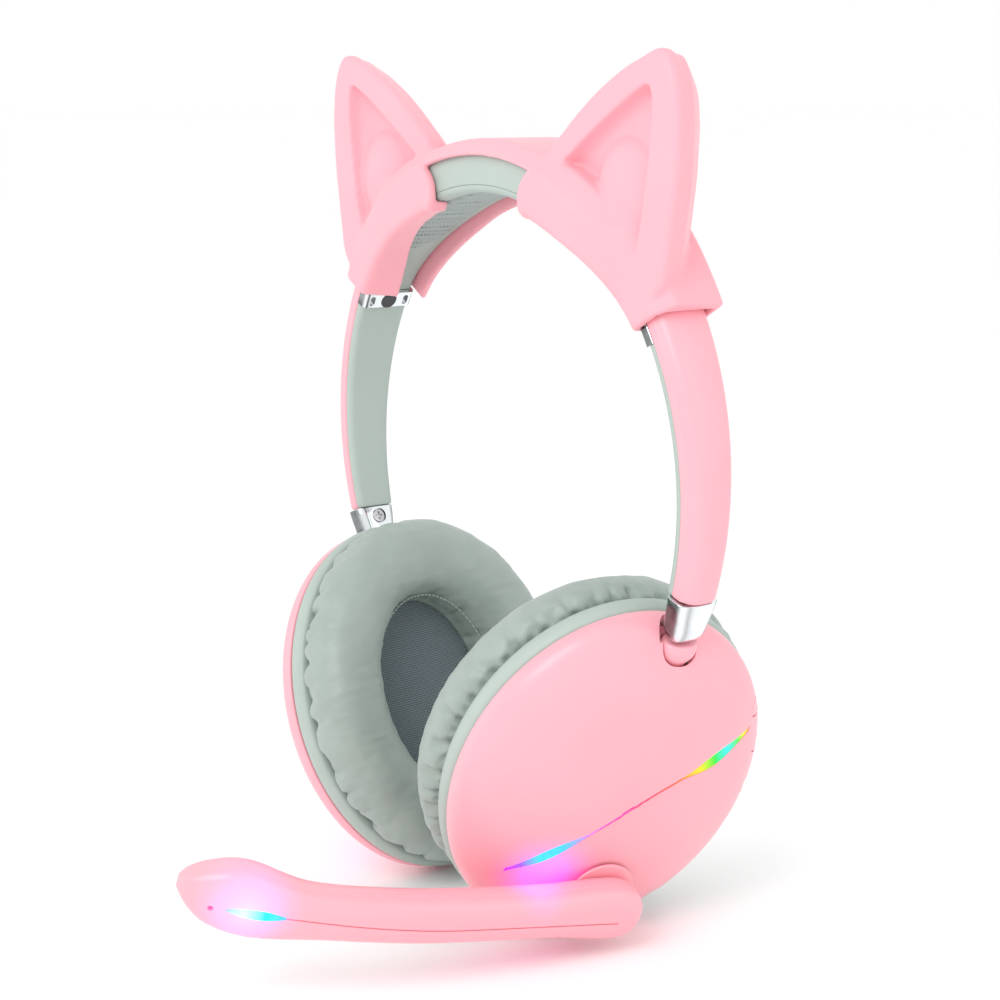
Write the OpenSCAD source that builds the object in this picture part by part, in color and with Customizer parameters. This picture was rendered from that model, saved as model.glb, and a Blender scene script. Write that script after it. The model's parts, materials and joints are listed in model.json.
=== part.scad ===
/* [Headband] */
// Outer radius of the headband arc
band_r = 79.2; // [74:0.2:86]
// Width of the headband from front to back
band_w = 24.4; // [22:0.2:27]
// Thickness of the padded headband at its top
band_t = 12; // [11:0.5:14]
// Angle from the top at which the headband ends and the arm begins
band_end = 62; // [58:1:64]

/* [Cat ear cover] */
// Wall thickness of the soft cover
cover_wall = 2.2; // [1.8:0.1:3]
// Height of the ear tip above the top of the headband
ear_rise = 23.8; // [16:0.2:32]
// Distance of the ear tip from the middle plane
ear_tip_x = 67.4; // [60:0.2:72]

/* [Arms] */
// Outer radius of the arm arc
arm_r = 87.1; // [84:0.1:92]
// Angle at which the arm ends
arm_end = 107.6; // [104:0.2:110]
// Thickness of the arm
arm_t = 8.5; // [8:0.1:10]
// Width of the arm at its top
arm_w_top = 16.6; // [14:0.2:18]
// Width of the arm at its lower end
arm_w_end = 11.4; // [10.6:0.2:13]

/* [Sliders and stems] */
// Travel of the size adjustment
travel = 18; // [8:1:18]
// Angle of the slider strip from the vertical
slide_tilt = 12; // [10:0.5:14]
// Angle of the stem from the vertical
stem_tilt = 21.5; // [19:0.5:24]
// Length of the chrome end below the arm
ferrule_len = 12.6; // [11:0.2:14]

/* [Ear cups] */
// Width of the cup shell
cup_w = 85.8; // [80:0.2:90]
// Height of the cup shell
cup_h = 98.6; // [92:0.2:104]
// Height of the domed outside of the shell
dome_h = 13.6; // [12:0.2:16]
// Distance from the shell's rim to the face of the cushion
cushion_depth = 24.2; // [20:0.2:25]
// Width of the cushion
cushion_w = 91; // [86:0.5:94]
// Height of the cushion
cushion_h = 98; // [92:0.5:102]
// Width of the cushion's opening
hole_w = 43.6; // [36:0.2:50]
// Height of the cushion's opening
hole_h = 54.4; // [46:0.2:60]
// Turn of the left cup about its stem, outer face towards the front
swivel_left = 12.5; // [0:0.5:14]
// Turn of the right cup about its stem, outer face towards the front
swivel_right = 8; // [0:0.5:12]

/* [Microphone] */
// Straight length of the boom from its hub
boom_straight = 40; // [30:1:50]
// Radius at which the rest of the boom bends towards the mouth
boom_bend_r = 182; // [150:2:260]
// Rise of the boom towards the front, in its cup's frame
boom_rise = 3.5; // [0:0.5:8]

/* [Hidden] */
$fn = 64;

// Colours
pink = [1.0, 0.72, 0.77];
grey_green = [0.68, 0.75, 0.71];
chrome = [0.82, 0.84, 0.86];
dark = [0.18, 0.19, 0.2];
board_green = [0.1, 0.35, 0.22];

// Centre of the headband arc; the origin lies on the underside of the pad
band_cz = band_t - band_r;
// Centre of the arm arc, which is tangent to the headband arc
arm_cx = -(arm_r - band_r) * sin(band_end);
arm_cz = band_cz - (arm_r - band_r) * cos(band_end);
arm_mid_r = arm_r - arm_t / 2;
// Middle of the arm's lower end
end_x = arm_cx + arm_mid_r * sin(arm_end);
end_z = arm_cz + arm_mid_r * cos(arm_end);

// Place of a cup's centre below and inside the arm's end, in the stem's frame
cup_in = 5;
cup_fwd = 6.4;
cup_drop = 57.7;
// Tilt pivot, in the cup's frame
pivot_x = 4.4;
pivot_z = 38.6;
ball_r = 5.4;
pin_r = 1.2;

shell_wall = 1.8;
skirt = 2;
ring_back = 8;
baffle_back = 7.3;
baffle_t = 2;

// Hub of the microphone, in the cup's frame
hub_y = 0;
hub_z = -29.3;
boom_x = 18.6;
hub_r = 5.2;

// Controls sit round the rear edge of the left cup, at these angles from its rear point
port_x = 2.9;
button_r = 2.5;
button_travel = 0.6;
power_angle = -4;
volume_down_angle = 12;
volume_up_angle = 27;
light_angle = -19;
usb_angle = -36;
jack_angle = -56;
jack_r = 1.8;
jack_len = 14;

// ---------- shared shapes ----------

// Sweeps a profile of [radius, front-back] about a centre in the XZ plane
module sector(cx, cz, a0, a1) {
    translate([cx, 0, cz])
        rotate([90, 0, 0])
            rotate([0, 0, 90 - a1])
                rotate_extrude(angle = a1 - a0, $fn = 180)
                    children();
}

module band_sector(a0, a1) {
    sector(0, band_cz, a0, a1)
        children();
}

module arm_sector(a0, a1) {
    sector(arm_cx, arm_cz, a0, a1)
        children();
}

// Rectangle with round corners, from its lowest corner
module soft_rect(w, h, r) {
    translate([r, 0])
        square([w - 2 * r, h]);
    translate([0, r])
        square([w, h - 2 * r]);
    for (x = [r, w - r], y = [r, h - r])
        translate([x, y])
            circle(r, $fn = 32);
}

module oval(w, h, n = 72) {
    polygon([for (i = [0 : n - 1]) [w / 2 * cos(i * 360 / n), h / 2 * sin(i * 360 / n)]]);
}

// Extrudes a shape drawn in [back, up] from x0 to x1
module plate(x0, x1) {
    rotate([90, 0, 90])
        translate([0, 0, x0])
            linear_extrude(x1 - x0)
                children();
}

// Cylinder along the cup's outward axis
module post(y, z, x0, x1, r) {
    translate([x0, y, z])
        rotate([0, 90, 0])
            cylinder(h = x1 - x0, r = r);
}

// Puts children that are drawn for the wearer's left on the chosen side
module on_side(side) {
    if (side > 0)
        children();
    else
        mirror([1, 0, 0])
            children();
}

module at_stem(side) {
    on_side(side)
        translate([end_x, 0, end_z])
            rotate([0, stem_tilt, 0])
                children();
}

module at_neck(side) {
    at_stem(side)
        rotate([0, 0, side > 0 ? -swivel_left : -swivel_right])
            children();
}

module at_cup(side) {
    at_neck(side)
        translate([-cup_in, -cup_fwd, -cup_drop])
            children();
}

// Puts children that point along +X on the rim of the cup, looking outwards
module at_rim(angle) {
    y = cup_w / 2 * cos(angle);
    z = cup_h / 2 * sin(angle);
    turn = atan2(z / pow(cup_h, 2), y / pow(cup_w, 2));
    translate([port_x, y, z])
        rotate([turn, 0, 0])
            rotate([0, 0, 90])
                children();
}

// ---------- headband ----------

// Half angle of the front window in the cover
window_a = 16.5;
pad_a = 44;
pad_w = 17;
liner_t = 2;
// Angle where the headband meets its collars, under the edge of the cover
band_stop = band_end - 3;

// Wedge that narrows the headband and its cover towards the arms
module band_taper(extra) {
    z0 = band_cz + band_r * cos(band_end) - 10;
    z1 = band_cz + band_r * cos(30);
    w0 = arm_w_top / 2 + extra;
    w1 = band_w / 2 + extra;
    rotate([90, 0, 90])
        translate([0, 0, -100])
            linear_extrude(200)
                polygon([[-w0, z0], [w0, z0], [w1, z1], [w1, 60], [-w1, 60], [-w1, z1]]);
}

module headband_shell() {
    color(grey_green)
        difference() {
            intersection() {
                band_sector(-band_stop, band_stop)
                    translate([band_r - band_t + liner_t, -band_w / 2])
                        soft_rect(band_t - liner_t, band_w, 3);
                band_taper(0);
            }
            intersection() {
                band_sector(-band_end - 1, band_end + 1)
                    translate([band_r - band_t + liner_t - 1, -band_w / 2 + 2.4])
                        square([band_t - liner_t - 1, band_w - 4.8]);
                band_taper(-2.4);
            }
        }
}

module headband_liner() {
    color(grey_green)
        difference() {
            intersection() {
                band_sector(-band_stop, band_stop)
                    translate([band_r - band_t, -band_w / 2 + 0.6])
                        soft_rect(liner_t - 0.02, band_w - 1.2, 0.8);
                band_taper(-0.6);
            }
            band_sector(-pad_a, pad_a)
                translate([band_r - band_t - 1, -pad_w / 2])
                    square([liner_t + 2, pad_w]);
        }
}

// Perforated insert with cross ribs
module ribbed_pad() {
    rib_step = 4;
    color(grey_green * 0.9)
        difference() {
            band_sector(-pad_a + 0.2, pad_a - 0.2)
                translate([band_r - band_t, -pad_w / 2 + 0.15])
                    square([3.2, pad_w - 0.3]);
            for (a = [-pad_a + rib_step : rib_step : pad_a - rib_step])
                band_sector(a - 0.35, a + 0.35)
                    translate([band_r - band_t - 0.5, -pad_w / 2 + 2])
                        square([1.1, pad_w - 4]);
        }
}

module spring_band() {
    color(chrome)
        band_sector(-band_stop + 0.5, band_stop - 0.5)
            translate([band_r - 5.2, -6])
                square([0.8, 12]);
}

// Wire that joins the two cups, inside the headband
module link_cable() {
    color(dark)
        band_sector(-band_stop + 0.5, band_stop - 0.5)
            translate([band_r - 3.4, 5])
                circle(0.8, $fn = 16);
}

// ---------- cat ear cover ----------

cover_in = band_r + 0.2;
cover_out = cover_in + cover_wall;
cover_low = band_r - band_t - 1.2;
cover_a = 59;
cover_half = band_w / 2 + 0.2;
ear_front = 10.2;
ear_back = 8;

// Outline of one ear in [x, z], ending inside the cover
function ear_outline(inset) =
    let(tip = [ear_tip_x - inset * 0.4, band_t + ear_rise - inset * 1.5],
        base_in = [26.5 + inset, 11 - inset],
        base_out = [69 - inset, -21],
        side_out = [74 - inset, 9])
    concat(
        [for (t = [0 : 0.2 : 1]) let(bow = 3.6 * sin(180 * t))
            base_in + (tip - base_in) * t + [-bow * 0.55, bow * 0.83]],
        [for (t = [0.1 : 0.3 : 1]) tip + (side_out - tip) * t + [2.6 * sin(180 * t), 0]],
        [base_out, [56, -32], [22, 2]]);

module ear() {
    difference() {
        union() {
            rotate([90, 0, 0])
                linear_extrude(ear_front)
                    polygon(ear_outline(0));
            hull() {
                rotate([90, 0, 0])
                    linear_extrude(0.5)
                        polygon(ear_outline(0.4));
                translate([0, ear_back, 0])
                    rotate([90, 0, 0])
                        linear_extrude(0.5)
                            polygon(ear_outline(9));
            }
        }
        translate([0, -ear_front + 3.4, 0])
            rotate([90, 0, 0])
                linear_extrude(ear_front)
                    polygon(ear_outline(6.5));
        sector(0, band_cz, -90, 90)
            translate([30, -cover_half])
                square([cover_in - 30, 2 * cover_half]);
        sector(0, band_cz, -90, 90)
            translate([30, -20])
                square([cover_out - 30 - 1, 40]);
    }
}

module cat_ear_cover() {
    color(pink)
        union() {
            difference() {
                intersection() {
                    band_sector(-cover_a, cover_a)
                        translate([cover_low, -cover_half - cover_wall])
                            soft_rect(cover_out - cover_low, 2 * cover_half + 2 * cover_wall, 2);
                    band_taper(0.2 + cover_wall);
                }
                intersection() {
                    band_sector(-cover_a - 1, cover_a + 1)
                        translate([cover_low - 1, -cover_half])
                            square([cover_in - cover_low + 1, 2 * cover_half]);
                    band_taper(0.2);
                }
                band_sector(-window_a, window_a)
                    translate([cover_low - 1, cover_half - 0.5])
                        square([cover_in - cover_low + 1, cover_wall + 2]);
            }
            for (side = [1, -1])
                on_side(side)
                    ear();
        }
}

// ---------- arms ----------

arm_start = band_end + 0.8;
collar_start = band_end - 2.5;
collar_end = arm_start - 0.05;

// Wedge that narrows the arms towards their lower ends
module arm_taper(extra) {
    z0 = arm_cz + arm_r * cos(arm_end) - 6;
    z1 = band_cz + band_r * cos(band_end) + 4;
    w0 = arm_w_end / 2 + extra;
    w1 = arm_w_top / 2 + extra;
    rotate([90, 0, 90])
        linear_extrude(100)
            polygon([[-w0, z0], [w0, z0], [w1, z1], [-w1, z1]]);
}

module arm_shell() {
    color(pink)
        difference() {
            intersection() {
                arm_sector(arm_start, arm_end)
                    translate([arm_r - arm_t + 2.5, -10])
                        square([arm_t - 2.5, 20]);
                arm_taper(0);
            }
            intersection() {
                arm_sector(arm_start - 1, arm_end + 1)
                    translate([arm_r - arm_t, -10])
                        square([arm_t - 1.8, 20]);
                arm_taper(-1.6);
            }
        }
}

module arm_liner() {
    color(grey_green)
        difference() {
            intersection() {
                arm_sector(arm_start, arm_end)
                    translate([arm_r - arm_t, -10])
                        square([2.5 - 0.02, 20]);
                arm_taper(0);
            }
            intersection() {
                arm_sector(arm_start + 4, arm_end + 1)
                    translate([arm_r - arm_t + 1.4, -10])
                        square([2.5, 20]);
                arm_taper(-1.8);
            }
        }
}

// Chrome collar between the headband and the arm
module collar() {
    color(chrome)
        difference() {
            arm_sector(collar_start, collar_end)
                translate([arm_r - arm_t - 1.2, -9.4])
                    soft_rect(arm_t + 0.8, 18.8, 2);
            arm_sector(collar_start - 1, collar_end + 1)
                translate([arm_r - 6.4, -7])
                    square([4.6, 14]);
            at_collar_screw()
                cylinder(h = 20, r = 1.35, center = true);
            at_collar_screw()
                translate([0, 0, -10])
                    cylinder(h = 10.9, r = 2.7);
        }
}

// Frame on the collar's inner face, +Z pointing outwards along its radius
module at_collar_screw() {
    translate([arm_cx, 0, arm_cz])
        rotate([0, (collar_start + collar_end) / 2, 0])
            translate([0, 0, arm_r - arm_t - 1.2])
                children();
}

module collar_screws() {
    color(dark)
        for (side = [1, -1])
            on_side(side)
                at_collar_screw() {
                    translate([0, 0, 0.88])
                        cylinder(h = 5.5, r = 1.25);
                    translate([0, 0, 0.1])
                        cylinder(h = 0.78, r = 2.4);
                }
}

module arm_shell_left() arm_shell();
module arm_shell_right() on_side(-1) arm_shell();
module arm_liner_left() arm_liner();
module arm_liner_right() on_side(-1) arm_liner();
module collar_left() collar();
module collar_right() on_side(-1) collar();

// ---------- sliders, chrome ends and necks ----------

strip_in = travel + 4;
ferrule_t = 7.6;
ferrule_w = 13;
shaft_r = 2.6;

module slider_strip(side) {
    color(chrome)
        on_side(side)
            translate([end_x, 0, end_z])
                rotate([0, slide_tilt, 0])
                    translate([-0.6, -3.6, -2])
                        cube([1.2, 7.2, strip_in + 2]);
}

module ferrule(side) {
    color(chrome)
        difference() {
            at_stem(side)
                translate([-ferrule_t / 2, -ferrule_w / 2, -ferrule_len])
                    linear_extrude(ferrule_len - 0.35)
                        soft_rect(ferrule_t, ferrule_w, 2.6);
            // Bore for the neck's shaft
            at_stem(side)
                translate([0, 0, -ferrule_len - 1])
                    cylinder(h = 8.6, r = shaft_r + 0.05);
            // Slot for the slider strip
            on_side(side)
                translate([end_x, 0, end_z])
                    rotate([0, slide_tilt, 0])
                        translate([-0.6, -3.6, -2])
                            cube([1.2, 7.2, 6]);
            at_ferrule_screw(side)
                translate([0, 0, -1])
                    cylinder(h = 3.4, r = 1.25);
            at_ferrule_screw(side)
                translate([0, 0, -1])
                    cylinder(h = 1.9, r = 2.2);
        }
}

// Frame on the inner face of the chrome end, +Z pointing outwards
module at_ferrule_screw(side) {
    at_stem(side)
        translate([-ferrule_t / 2, 0, -3.4])
            rotate([0, 90, 0])
                children();
}

module ferrule_screw(side) {
    color(chrome * 0.9)
        at_ferrule_screw(side) {
            translate([0, 0, 0.9])
                cylinder(h = 1.4, r = 1.2);
            translate([0, 0, 0.15])
                cylinder(h = 0.75, r = 2.0);
        }
}

// Neck: a shaft that turns in the chrome end and a ball that tilts in the cup
module neck(side) {
    ball_drop = cup_drop - pivot_z;
    color(pink)
        at_neck(side)
            difference() {
                union() {
                    translate([0, 0, -ferrule_len + 0.4])
                        cylinder(h = 6.8, r = shaft_r);
                    translate([0, 0, -ferrule_len - 4.6])
                        cylinder(h = 4.3, r = 4.4);
                    translate([0, 0, -ferrule_len - 0.4])
                        cylinder(h = 1, r = shaft_r);
                    translate([0, 0, -ferrule_len - 4.6])
                        sphere(4.4, $fn = 48);
                    translate([pivot_x - cup_in, 0, -ball_drop])
                        sphere(ball_r, $fn = 48);
                }
                translate([pivot_x - cup_in, -10, -ball_drop])
                    rotate([-90, 0, 0])
                        cylinder(h = 20, r = pin_r + 0.05);
            }
}

module pivot_pin(side) {
    color(chrome)
        at_cup(side)
            translate([pivot_x, cup_fwd - 9.6, pivot_z])
                rotate([-90, 0, 0])
                    cylinder(h = 19.2, r = pin_r);
}

module slider_strip_left() slider_strip(1);
module slider_strip_right() slider_strip(-1);
module ferrule_left() ferrule(1);
module ferrule_right() ferrule(-1);
module ferrule_screw_left() ferrule_screw(1);
module ferrule_screw_right() ferrule_screw(-1);
module neck_left() neck(1);
module neck_right() neck(-1);
module pivot_pin_left() pivot_pin(1);
module pivot_pin_right() pivot_pin(-1);

// ---------- cup shells and lights ----------

guide_from = 9.4;
light_y0 = -27;
light_y1 = 35;

// Height of the light's middle line at the share t of its length
function light_z(t) = -22.5 + 39.5 * t + 2.8 * pow(sin(180 * pow(t, 1.2)), 3);

// Half width of the light: a wide window near each end and a thin line between
function light_half(t) =
    0.35 + 1.5 * (pow(sin(180 * min(t / 0.32, 1)), 1.5) + pow(sin(180 * max((t - 0.68) / 0.32, 0)), 1.5));

module light_outline(grow) {
    n = 32;
    y = function(t) light_y0 + (light_y1 - light_y0) * t;
    polygon(concat(
        [for (i = [0 : n]) [y(i / n), light_z(i / n) + light_half(i / n) + grow]],
        [for (i = [n : -1 : 0]) [y(i / n), light_z(i / n) - light_half(i / n) - grow]]));
}

boss_spots = [[27, 27], [-27, 27], [-27, -27], [27, -24]];

// Closed dome over the cup's oval, from x0 up to its top
module dome(inset, x0) {
    n = 48;
    rings = 6;
    hy = cup_w / 2 - inset;
    hz = cup_h / 2 - inset;
    rise = function(k) max(k - 1, 0) * 90 / rings;
    height = function(k) k == 0 ? x0 : (dome_h - inset) * sin(rise(k));
    polyhedron(
        points = concat(
            [for (k = [0 : rings], i = [0 : n - 1])
                let(a = i * 360 / n)
                [height(k), hy * cos(rise(k)) * cos(a), hz * cos(rise(k)) * sin(a)]],
            [[dome_h - inset, 0, 0]]),
        faces = concat(
            [[for (i = [0 : n - 1]) i]],
            [for (k = [0 : rings - 1], i = [0 : n - 1])
                let(j = (i + 1) % n)
                [k * n + i, (k + 1) * n + i, (k + 1) * n + j, k * n + j]],
            [for (i = [0 : n - 1])
                [rings * n + i, (rings + 1) * n, rings * n + (i + 1) % n]]));
}

module cup_body() {
    difference() {
        dome(0, -skirt);
        dome(shell_wall, -skirt - 1);
    }
    // Screw bosses
    for (p = boss_spots)
        post(p[0], p[1], -baffle_back + baffle_t, 5.9, 2.8);
    // Lugs that hold the tilt pin, each reaching up into the dome's wall
    for (lug = [[cup_fwd - ball_r - 3.6, 6.6], [cup_fwd + ball_r + 0.6, 5.2]])
        translate([1, lug[0], pivot_z - 3.2])
            cube([lug[1] - 1, 3, 5.8]);
}

module cup_shell(side) {
    color(pink)
        at_cup(side)
            difference() {
                cup_body();
                // Holes for the screws and the tilt pin
                for (p = boss_spots)
                    post(p[0], p[1], -baffle_back, 2, 1.1);
                translate([pivot_x, cup_fwd - 9.7, pivot_z])
                    rotate([-90, 0, 0])
                        cylinder(h = 19.4, r = pin_r);
                // Socket round the neck
                translate([pivot_x, cup_fwd, pivot_z])
                    sphere(ball_r + 0.5, $fn = 48);
                translate([cup_in + 0.6, cup_fwd, pivot_z - 4])
                    cylinder(h = 30, r = 5.3);
                // Room for the chrome end while the cup turns under it
                translate([-1.1, cup_fwd - 8, cup_drop - ferrule_len - 0.5])
                    cube([20, 16, 20]);
                // Slot for the light
                plate(guide_from - 0.5, 20)
                    light_outline(0.06);
                if (side > 0) {
                    post(hub_y, hub_z, 0, 20, hub_r + 0.06);
                    for (a = [power_angle, volume_up_angle, volume_down_angle, light_angle])
                        at_rim(a)
                            rotate([0, 90, 0])
                                cylinder(h = 20, r = button_r + 0.15, center = true);
                    at_rim(usb_angle)
                        translate([-8, -4.7, -1.9])
                            cube([16, 9.4, 3.8]);
                    at_rim(jack_angle)
                        rotate([0, 90, 0])
                            cylinder(h = 20, r = 3.3, center = true);
                }
            }
}

module light_guide(side) {
    color([0.95, 0.97, 1.0])
        at_cup(side)
            intersection() {
                plate(guide_from, 20)
                    light_outline(0);
                dome(0.15, 0);
            }
}

// Strip of lamps under the middle of the light guide
module led_board(side) {
    color([0.9, 0.92, 0.9])
        at_cup(side)
            translate([0, -5, -7])
                rotate([30, 0, 0])
                    translate([8.2, -14, -2])
                        cube([1, 32, 4]);
}

module cup_shell_left() cup_shell(1);
module cup_shell_right() cup_shell(-1);
module light_guide_left() light_guide(1);
module light_guide_right() light_guide(-1);
module led_board_left() led_board(1);
module led_board_right() led_board(-1);

// ---------- cup insides and cushions ----------

module mid_ring(side) {
    color(grey_green)
        at_cup(side)
            plate(-ring_back, -skirt - 0.02)
                difference() {
                    oval(cup_w - 1.2, cup_h - 1.2);
                    oval(cup_w - 8, cup_h - 8);
                }
}

module baffle(side) {
    color(dark)
        at_cup(side)
            difference() {
                plate(-baffle_back, -baffle_back + baffle_t - 0.02)
                    oval(cup_w - 8.4, cup_h - 8.4);
                post(0, 0, -10, 0, 17);
                for (p = boss_spots)
                    post(p[0], p[1], -10, 0, 1.3);
            }
}

module driver_frame(side) {
    color(dark)
        at_cup(side)
            difference() {
                post(0, 0, -baffle_back + baffle_t, -1.4, 20);
                post(0, 0, -10, -2.6, 16.6);
                post(0, 0, -10, 0, 8);
            }
}

module driver_magnet(side) {
    color(chrome)
        at_cup(side)
            post(0, 0, -1.38, 5.6, 12);
}

module driver_cone(side) {
    color([0.8, 0.82, 0.84])
        at_cup(side)
            difference() {
                post(0, 0, -baffle_back + 0.4, -baffle_back + 1.4, 16.4);
                post(0, 0, -baffle_back + 0.9, -baffle_back + 2, 15.2);
            }
}

// Outline of the cushion's section as [share of the way from opening to edge, depth]
cushion_section = [[0, 8], [0.55, 8], [0.87, 8.3], [0.97, 10.6], [1, 13.5], [0.99, 17], [0.93, 20.4],
    [0.8, 23.1], [0.6, 24.2], [0.36, 23.6], [0.16, 21.6], [0.04, 18.4], [0, 14]];

function cushion_point(i, j, n) =
    let(a = i * 360 / n, s = cushion_section[j], k = cushion_depth / 24.2)
    [-s[1] * k,
     (hole_w / 2 + (cushion_w - hole_w) / 2 * s[0]) * cos(a),
     (hole_h / 2 + (cushion_h - hole_h) / 2 * s[0]) * sin(a)];

module ear_cushion(side) {
    n = 48;
    m = len(cushion_section);
    color(grey_green)
        at_cup(side)
            polyhedron(
                points = [for (i = [0 : n - 1], j = [0 : m - 1]) cushion_point(i, j, n)],
                faces = [for (i = [0 : n - 1], j = [0 : m - 1])
                    each let(a = i * m + j, b = i * m + (j + 1) % m,
                             c = ((i + 1) % n) * m + (j + 1) % m, d = ((i + 1) % n) * m + j)
                    [[a, c, b], [a, d, c]]]);
}

module mesh_cloth(side) {
    color(grey_green * 0.8)
        at_cup(side)
            plate(-baffle_back - 0.62, -baffle_back - 0.02)
                oval(hole_w + 8, hole_h + 8);
}

module cup_screws(side) {
    color(dark)
        at_cup(side)
            for (p = boss_spots) {
                post(p[0], p[1], -baffle_back - 0.02, 1.8, 1.05);
                post(p[0], p[1], -baffle_back - 0.6, -baffle_back - 0.02, 2.1);
            }
}

module main_board() {
    color(board_green)
        at_cup(1)
            difference() {
                plate(-1, 0.4)
                    difference() {
                        oval(cup_w - 12, cup_h - 12);
                        translate([-50, -20])
                            square([100, 80]);
                        circle(21);
                    }
                for (p = boss_spots)
                    post(p[0], p[1], -5, 5, 3.2);
                at_rim(jack_angle)
                    rotate([0, 90, 0])
                        cylinder(h = 40, r = 4, center = true);
                at_rim(usb_angle)
                    cube([24, 10, 6], center = true);
                post(hub_y, hub_z, -5, 5, hub_r + 2.6);
            }
}

module battery() {
    color([0.75, 0.77, 0.8])
        at_cup(-1)
            translate([-4.8, -16, -40])
                cube([5, 32, 18]);
}

module mid_ring_left() mid_ring(1);
module mid_ring_right() mid_ring(-1);
module baffle_left() baffle(1);
module baffle_right() baffle(-1);
module driver_frame_left() driver_frame(1);
module driver_frame_right() driver_frame(-1);
module driver_magnet_left() driver_magnet(1);
module driver_magnet_right() driver_magnet(-1);
module driver_cone_left() driver_cone(1);
module driver_cone_right() driver_cone(-1);
module ear_cushion_left() ear_cushion(1);
module ear_cushion_right() ear_cushion(-1);
module mesh_cloth_left() mesh_cloth(1);
module mesh_cloth_right() mesh_cloth(-1);
module cup_screws_left() cup_screws(1);
module cup_screws_right() cup_screws(-1);

// ---------- controls and ports ----------

module rim_button(angle) {
    color(pink * 0.95)
        at_cup(1)
            at_rim(angle)
                rotate([0, 90, 0]) {
                    translate([0, 0, -8])
                        cylinder(h = 7.5, r = button_r);
                    translate([0, 0, -9.2])
                        cylinder(h = 1.2, r = button_r + 0.7);
                }
}

module power_button() rim_button(power_angle);
module volume_up_button() rim_button(volume_up_angle);
module volume_down_button() rim_button(volume_down_angle);
module light_button() rim_button(light_angle);

module usb_port() {
    color(chrome)
        at_cup(1)
            at_rim(usb_angle)
                translate([-8, 0, 0])
                    difference() {
                        translate([0, -4.5, -1.7])
                            cube([7.4, 9, 3.4]);
                        translate([1, -4.1, -1.3])
                            cube([8, 8.2, 2.6]);
                    }
}

module audio_jack() {
    color(dark)
        at_cup(1)
            at_rim(jack_angle)
                rotate([0, 90, 0])
                    difference() {
                        translate([0, 0, -jack_len - 1.6])
                            cylinder(h = jack_len + 1.4, r = 3.2);
                        translate([0, 0, -jack_len - 0.2])
                            cylinder(h = jack_len + 2, r = jack_r);
                    }
}

// ---------- microphone ----------

// Sections along the boom: [distance from the hub, half thickness, bottom, top]
boom_sections = [[-8, 2.6, -2.4, 2.4], [-7.2, 4.3, -4.4, 4.4], [-5, 5.2, -6.3, 6.3], [-1, 5.3, -7.2, 7.4],
    [4, 5.3, -7, 7.5], [14, 5.3, -6.8, 7], [28, 5.3, -6.8, 6.6], [40, 5.3, -6.8, 6.5], [52, 5.3, -6.9, 6.4],
    [64, 5.3, -7, 6.2], [76, 5.3, -7.4, 6], [84, 5.4, -8.3, 6.4], [90, 5.7, -9.1, 7.8], [95, 6, -9.4, 9.2],
    [99, 6, -9.2, 9.8], [103, 5.9, -8.4, 9.4], [107, 5.5, -6.9, 8], [110.5, 4.6, -4.2, 6.2],
    [113, 3.2, -1.4, 4.4], [114.4, 1.6, 0.4, 2.6]];
boom_t = 10.6;
boom_wall = 1.5;
light_at = 95;
light_len = 14;
capsule_at = 104;

// Frame at the hub: -Y runs forward along the boom
module at_boom() {
    at_cup(1)
        translate([boom_x, hub_y, hub_z])
            rotate([-boom_rise, 0, 0])
                children();
}

// Frame on the boom's middle line at the distance s from its hub
module at_path(s) {
    translate([-boom_bend_r, -boom_straight, 0])
        rotate([0, 0, -(s - boom_straight) / boom_bend_r * 180 / PI])
            translate([boom_bend_r, 0, 0])
                children();
}

// Point of a section: out is the offset outwards from the middle line
function boom_point(s, out, z) =
    let(t = max(s - boom_straight, 0) / boom_bend_r * 180 / PI, r = boom_bend_r + out)
    [r * cos(t) - boom_bend_r, -min(s, boom_straight) - r * sin(t), z];

// Half of the boom as one closed form; side is 1 for the outer half and -1 for the inner
module boom_half(side, inset, first, last) {
    n = 11;
    edge = inset > 0 ? -0.5 : 0.01;
    count = last - first + 1;
    ring = function(k)
        let(row = boom_sections[side > 0 ? first + k : last - k],
            middle = (row[2] + row[3]) / 2,
            half = (row[3] - row[2]) / 2 - inset)
        [for (i = [0 : n - 1])
            let(a = 180 * i / (n - 1) - 90,
                bulge = max(row[1] - inset, 0.4) * pow(abs(cos(a)), 0.6))
            boom_point(row[0], side * max(bulge, edge), middle + half * sign(a) * pow(abs(sin(a)), 0.7))];
    polyhedron(
        points = [for (k = [0 : count - 1]) each ring(k)],
        faces = concat(
            [[for (i = [0 : n - 1]) i], [for (i = [n - 1 : -1 : 0]) (count - 1) * n + i]],
            [for (k = [0 : count - 2], i = [0 : n - 1])
                each let(a = k * n + i, b = k * n + (i + 1) % n)
                [[a, a + n, b], [b, a + n, b + n]]]));
}

module boom_outer() {
    color(pink)
        at_boom()
            difference() {
                boom_half(1, 0, 0, 19);
                boom_half(1, boom_wall, 2, 16);
                at_path(light_at)
                    cube([30, light_len + 0.2, 2], center = true);
            }
}

module boom_inner() {
    color(pink)
        at_boom()
            difference() {
                boom_half(-1, 0, 0, 19);
                boom_half(-1, boom_wall, 2, 16);
                rotate([0, -90, 0])
                    cylinder(h = 10, r = hub_r - 1.2);
                // Sound hole
                at_path(capsule_at)
                    translate([-10, 0, 0])
                        rotate([0, 90, 0])
                            cylinder(h = 9, r = 0.8);
            }
}

// Hub that carries the boom and turns in the cup shell
module mic_hub() {
    color(pink)
        at_boom()
            rotate([0, -90, 0]) {
                translate([0, 0, boom_t / 2 + 0.02])
                    cylinder(h = boom_x - boom_t / 2 - 6, r = hub_r);
                translate([0, 0, boom_x - 6 - 0.2])
                    cylinder(h = 1.6, r = hub_r + 1.6);
                translate([0, 0, 1])
                    cylinder(h = boom_t / 2, r = hub_r - 1.25);
            }
}

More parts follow.
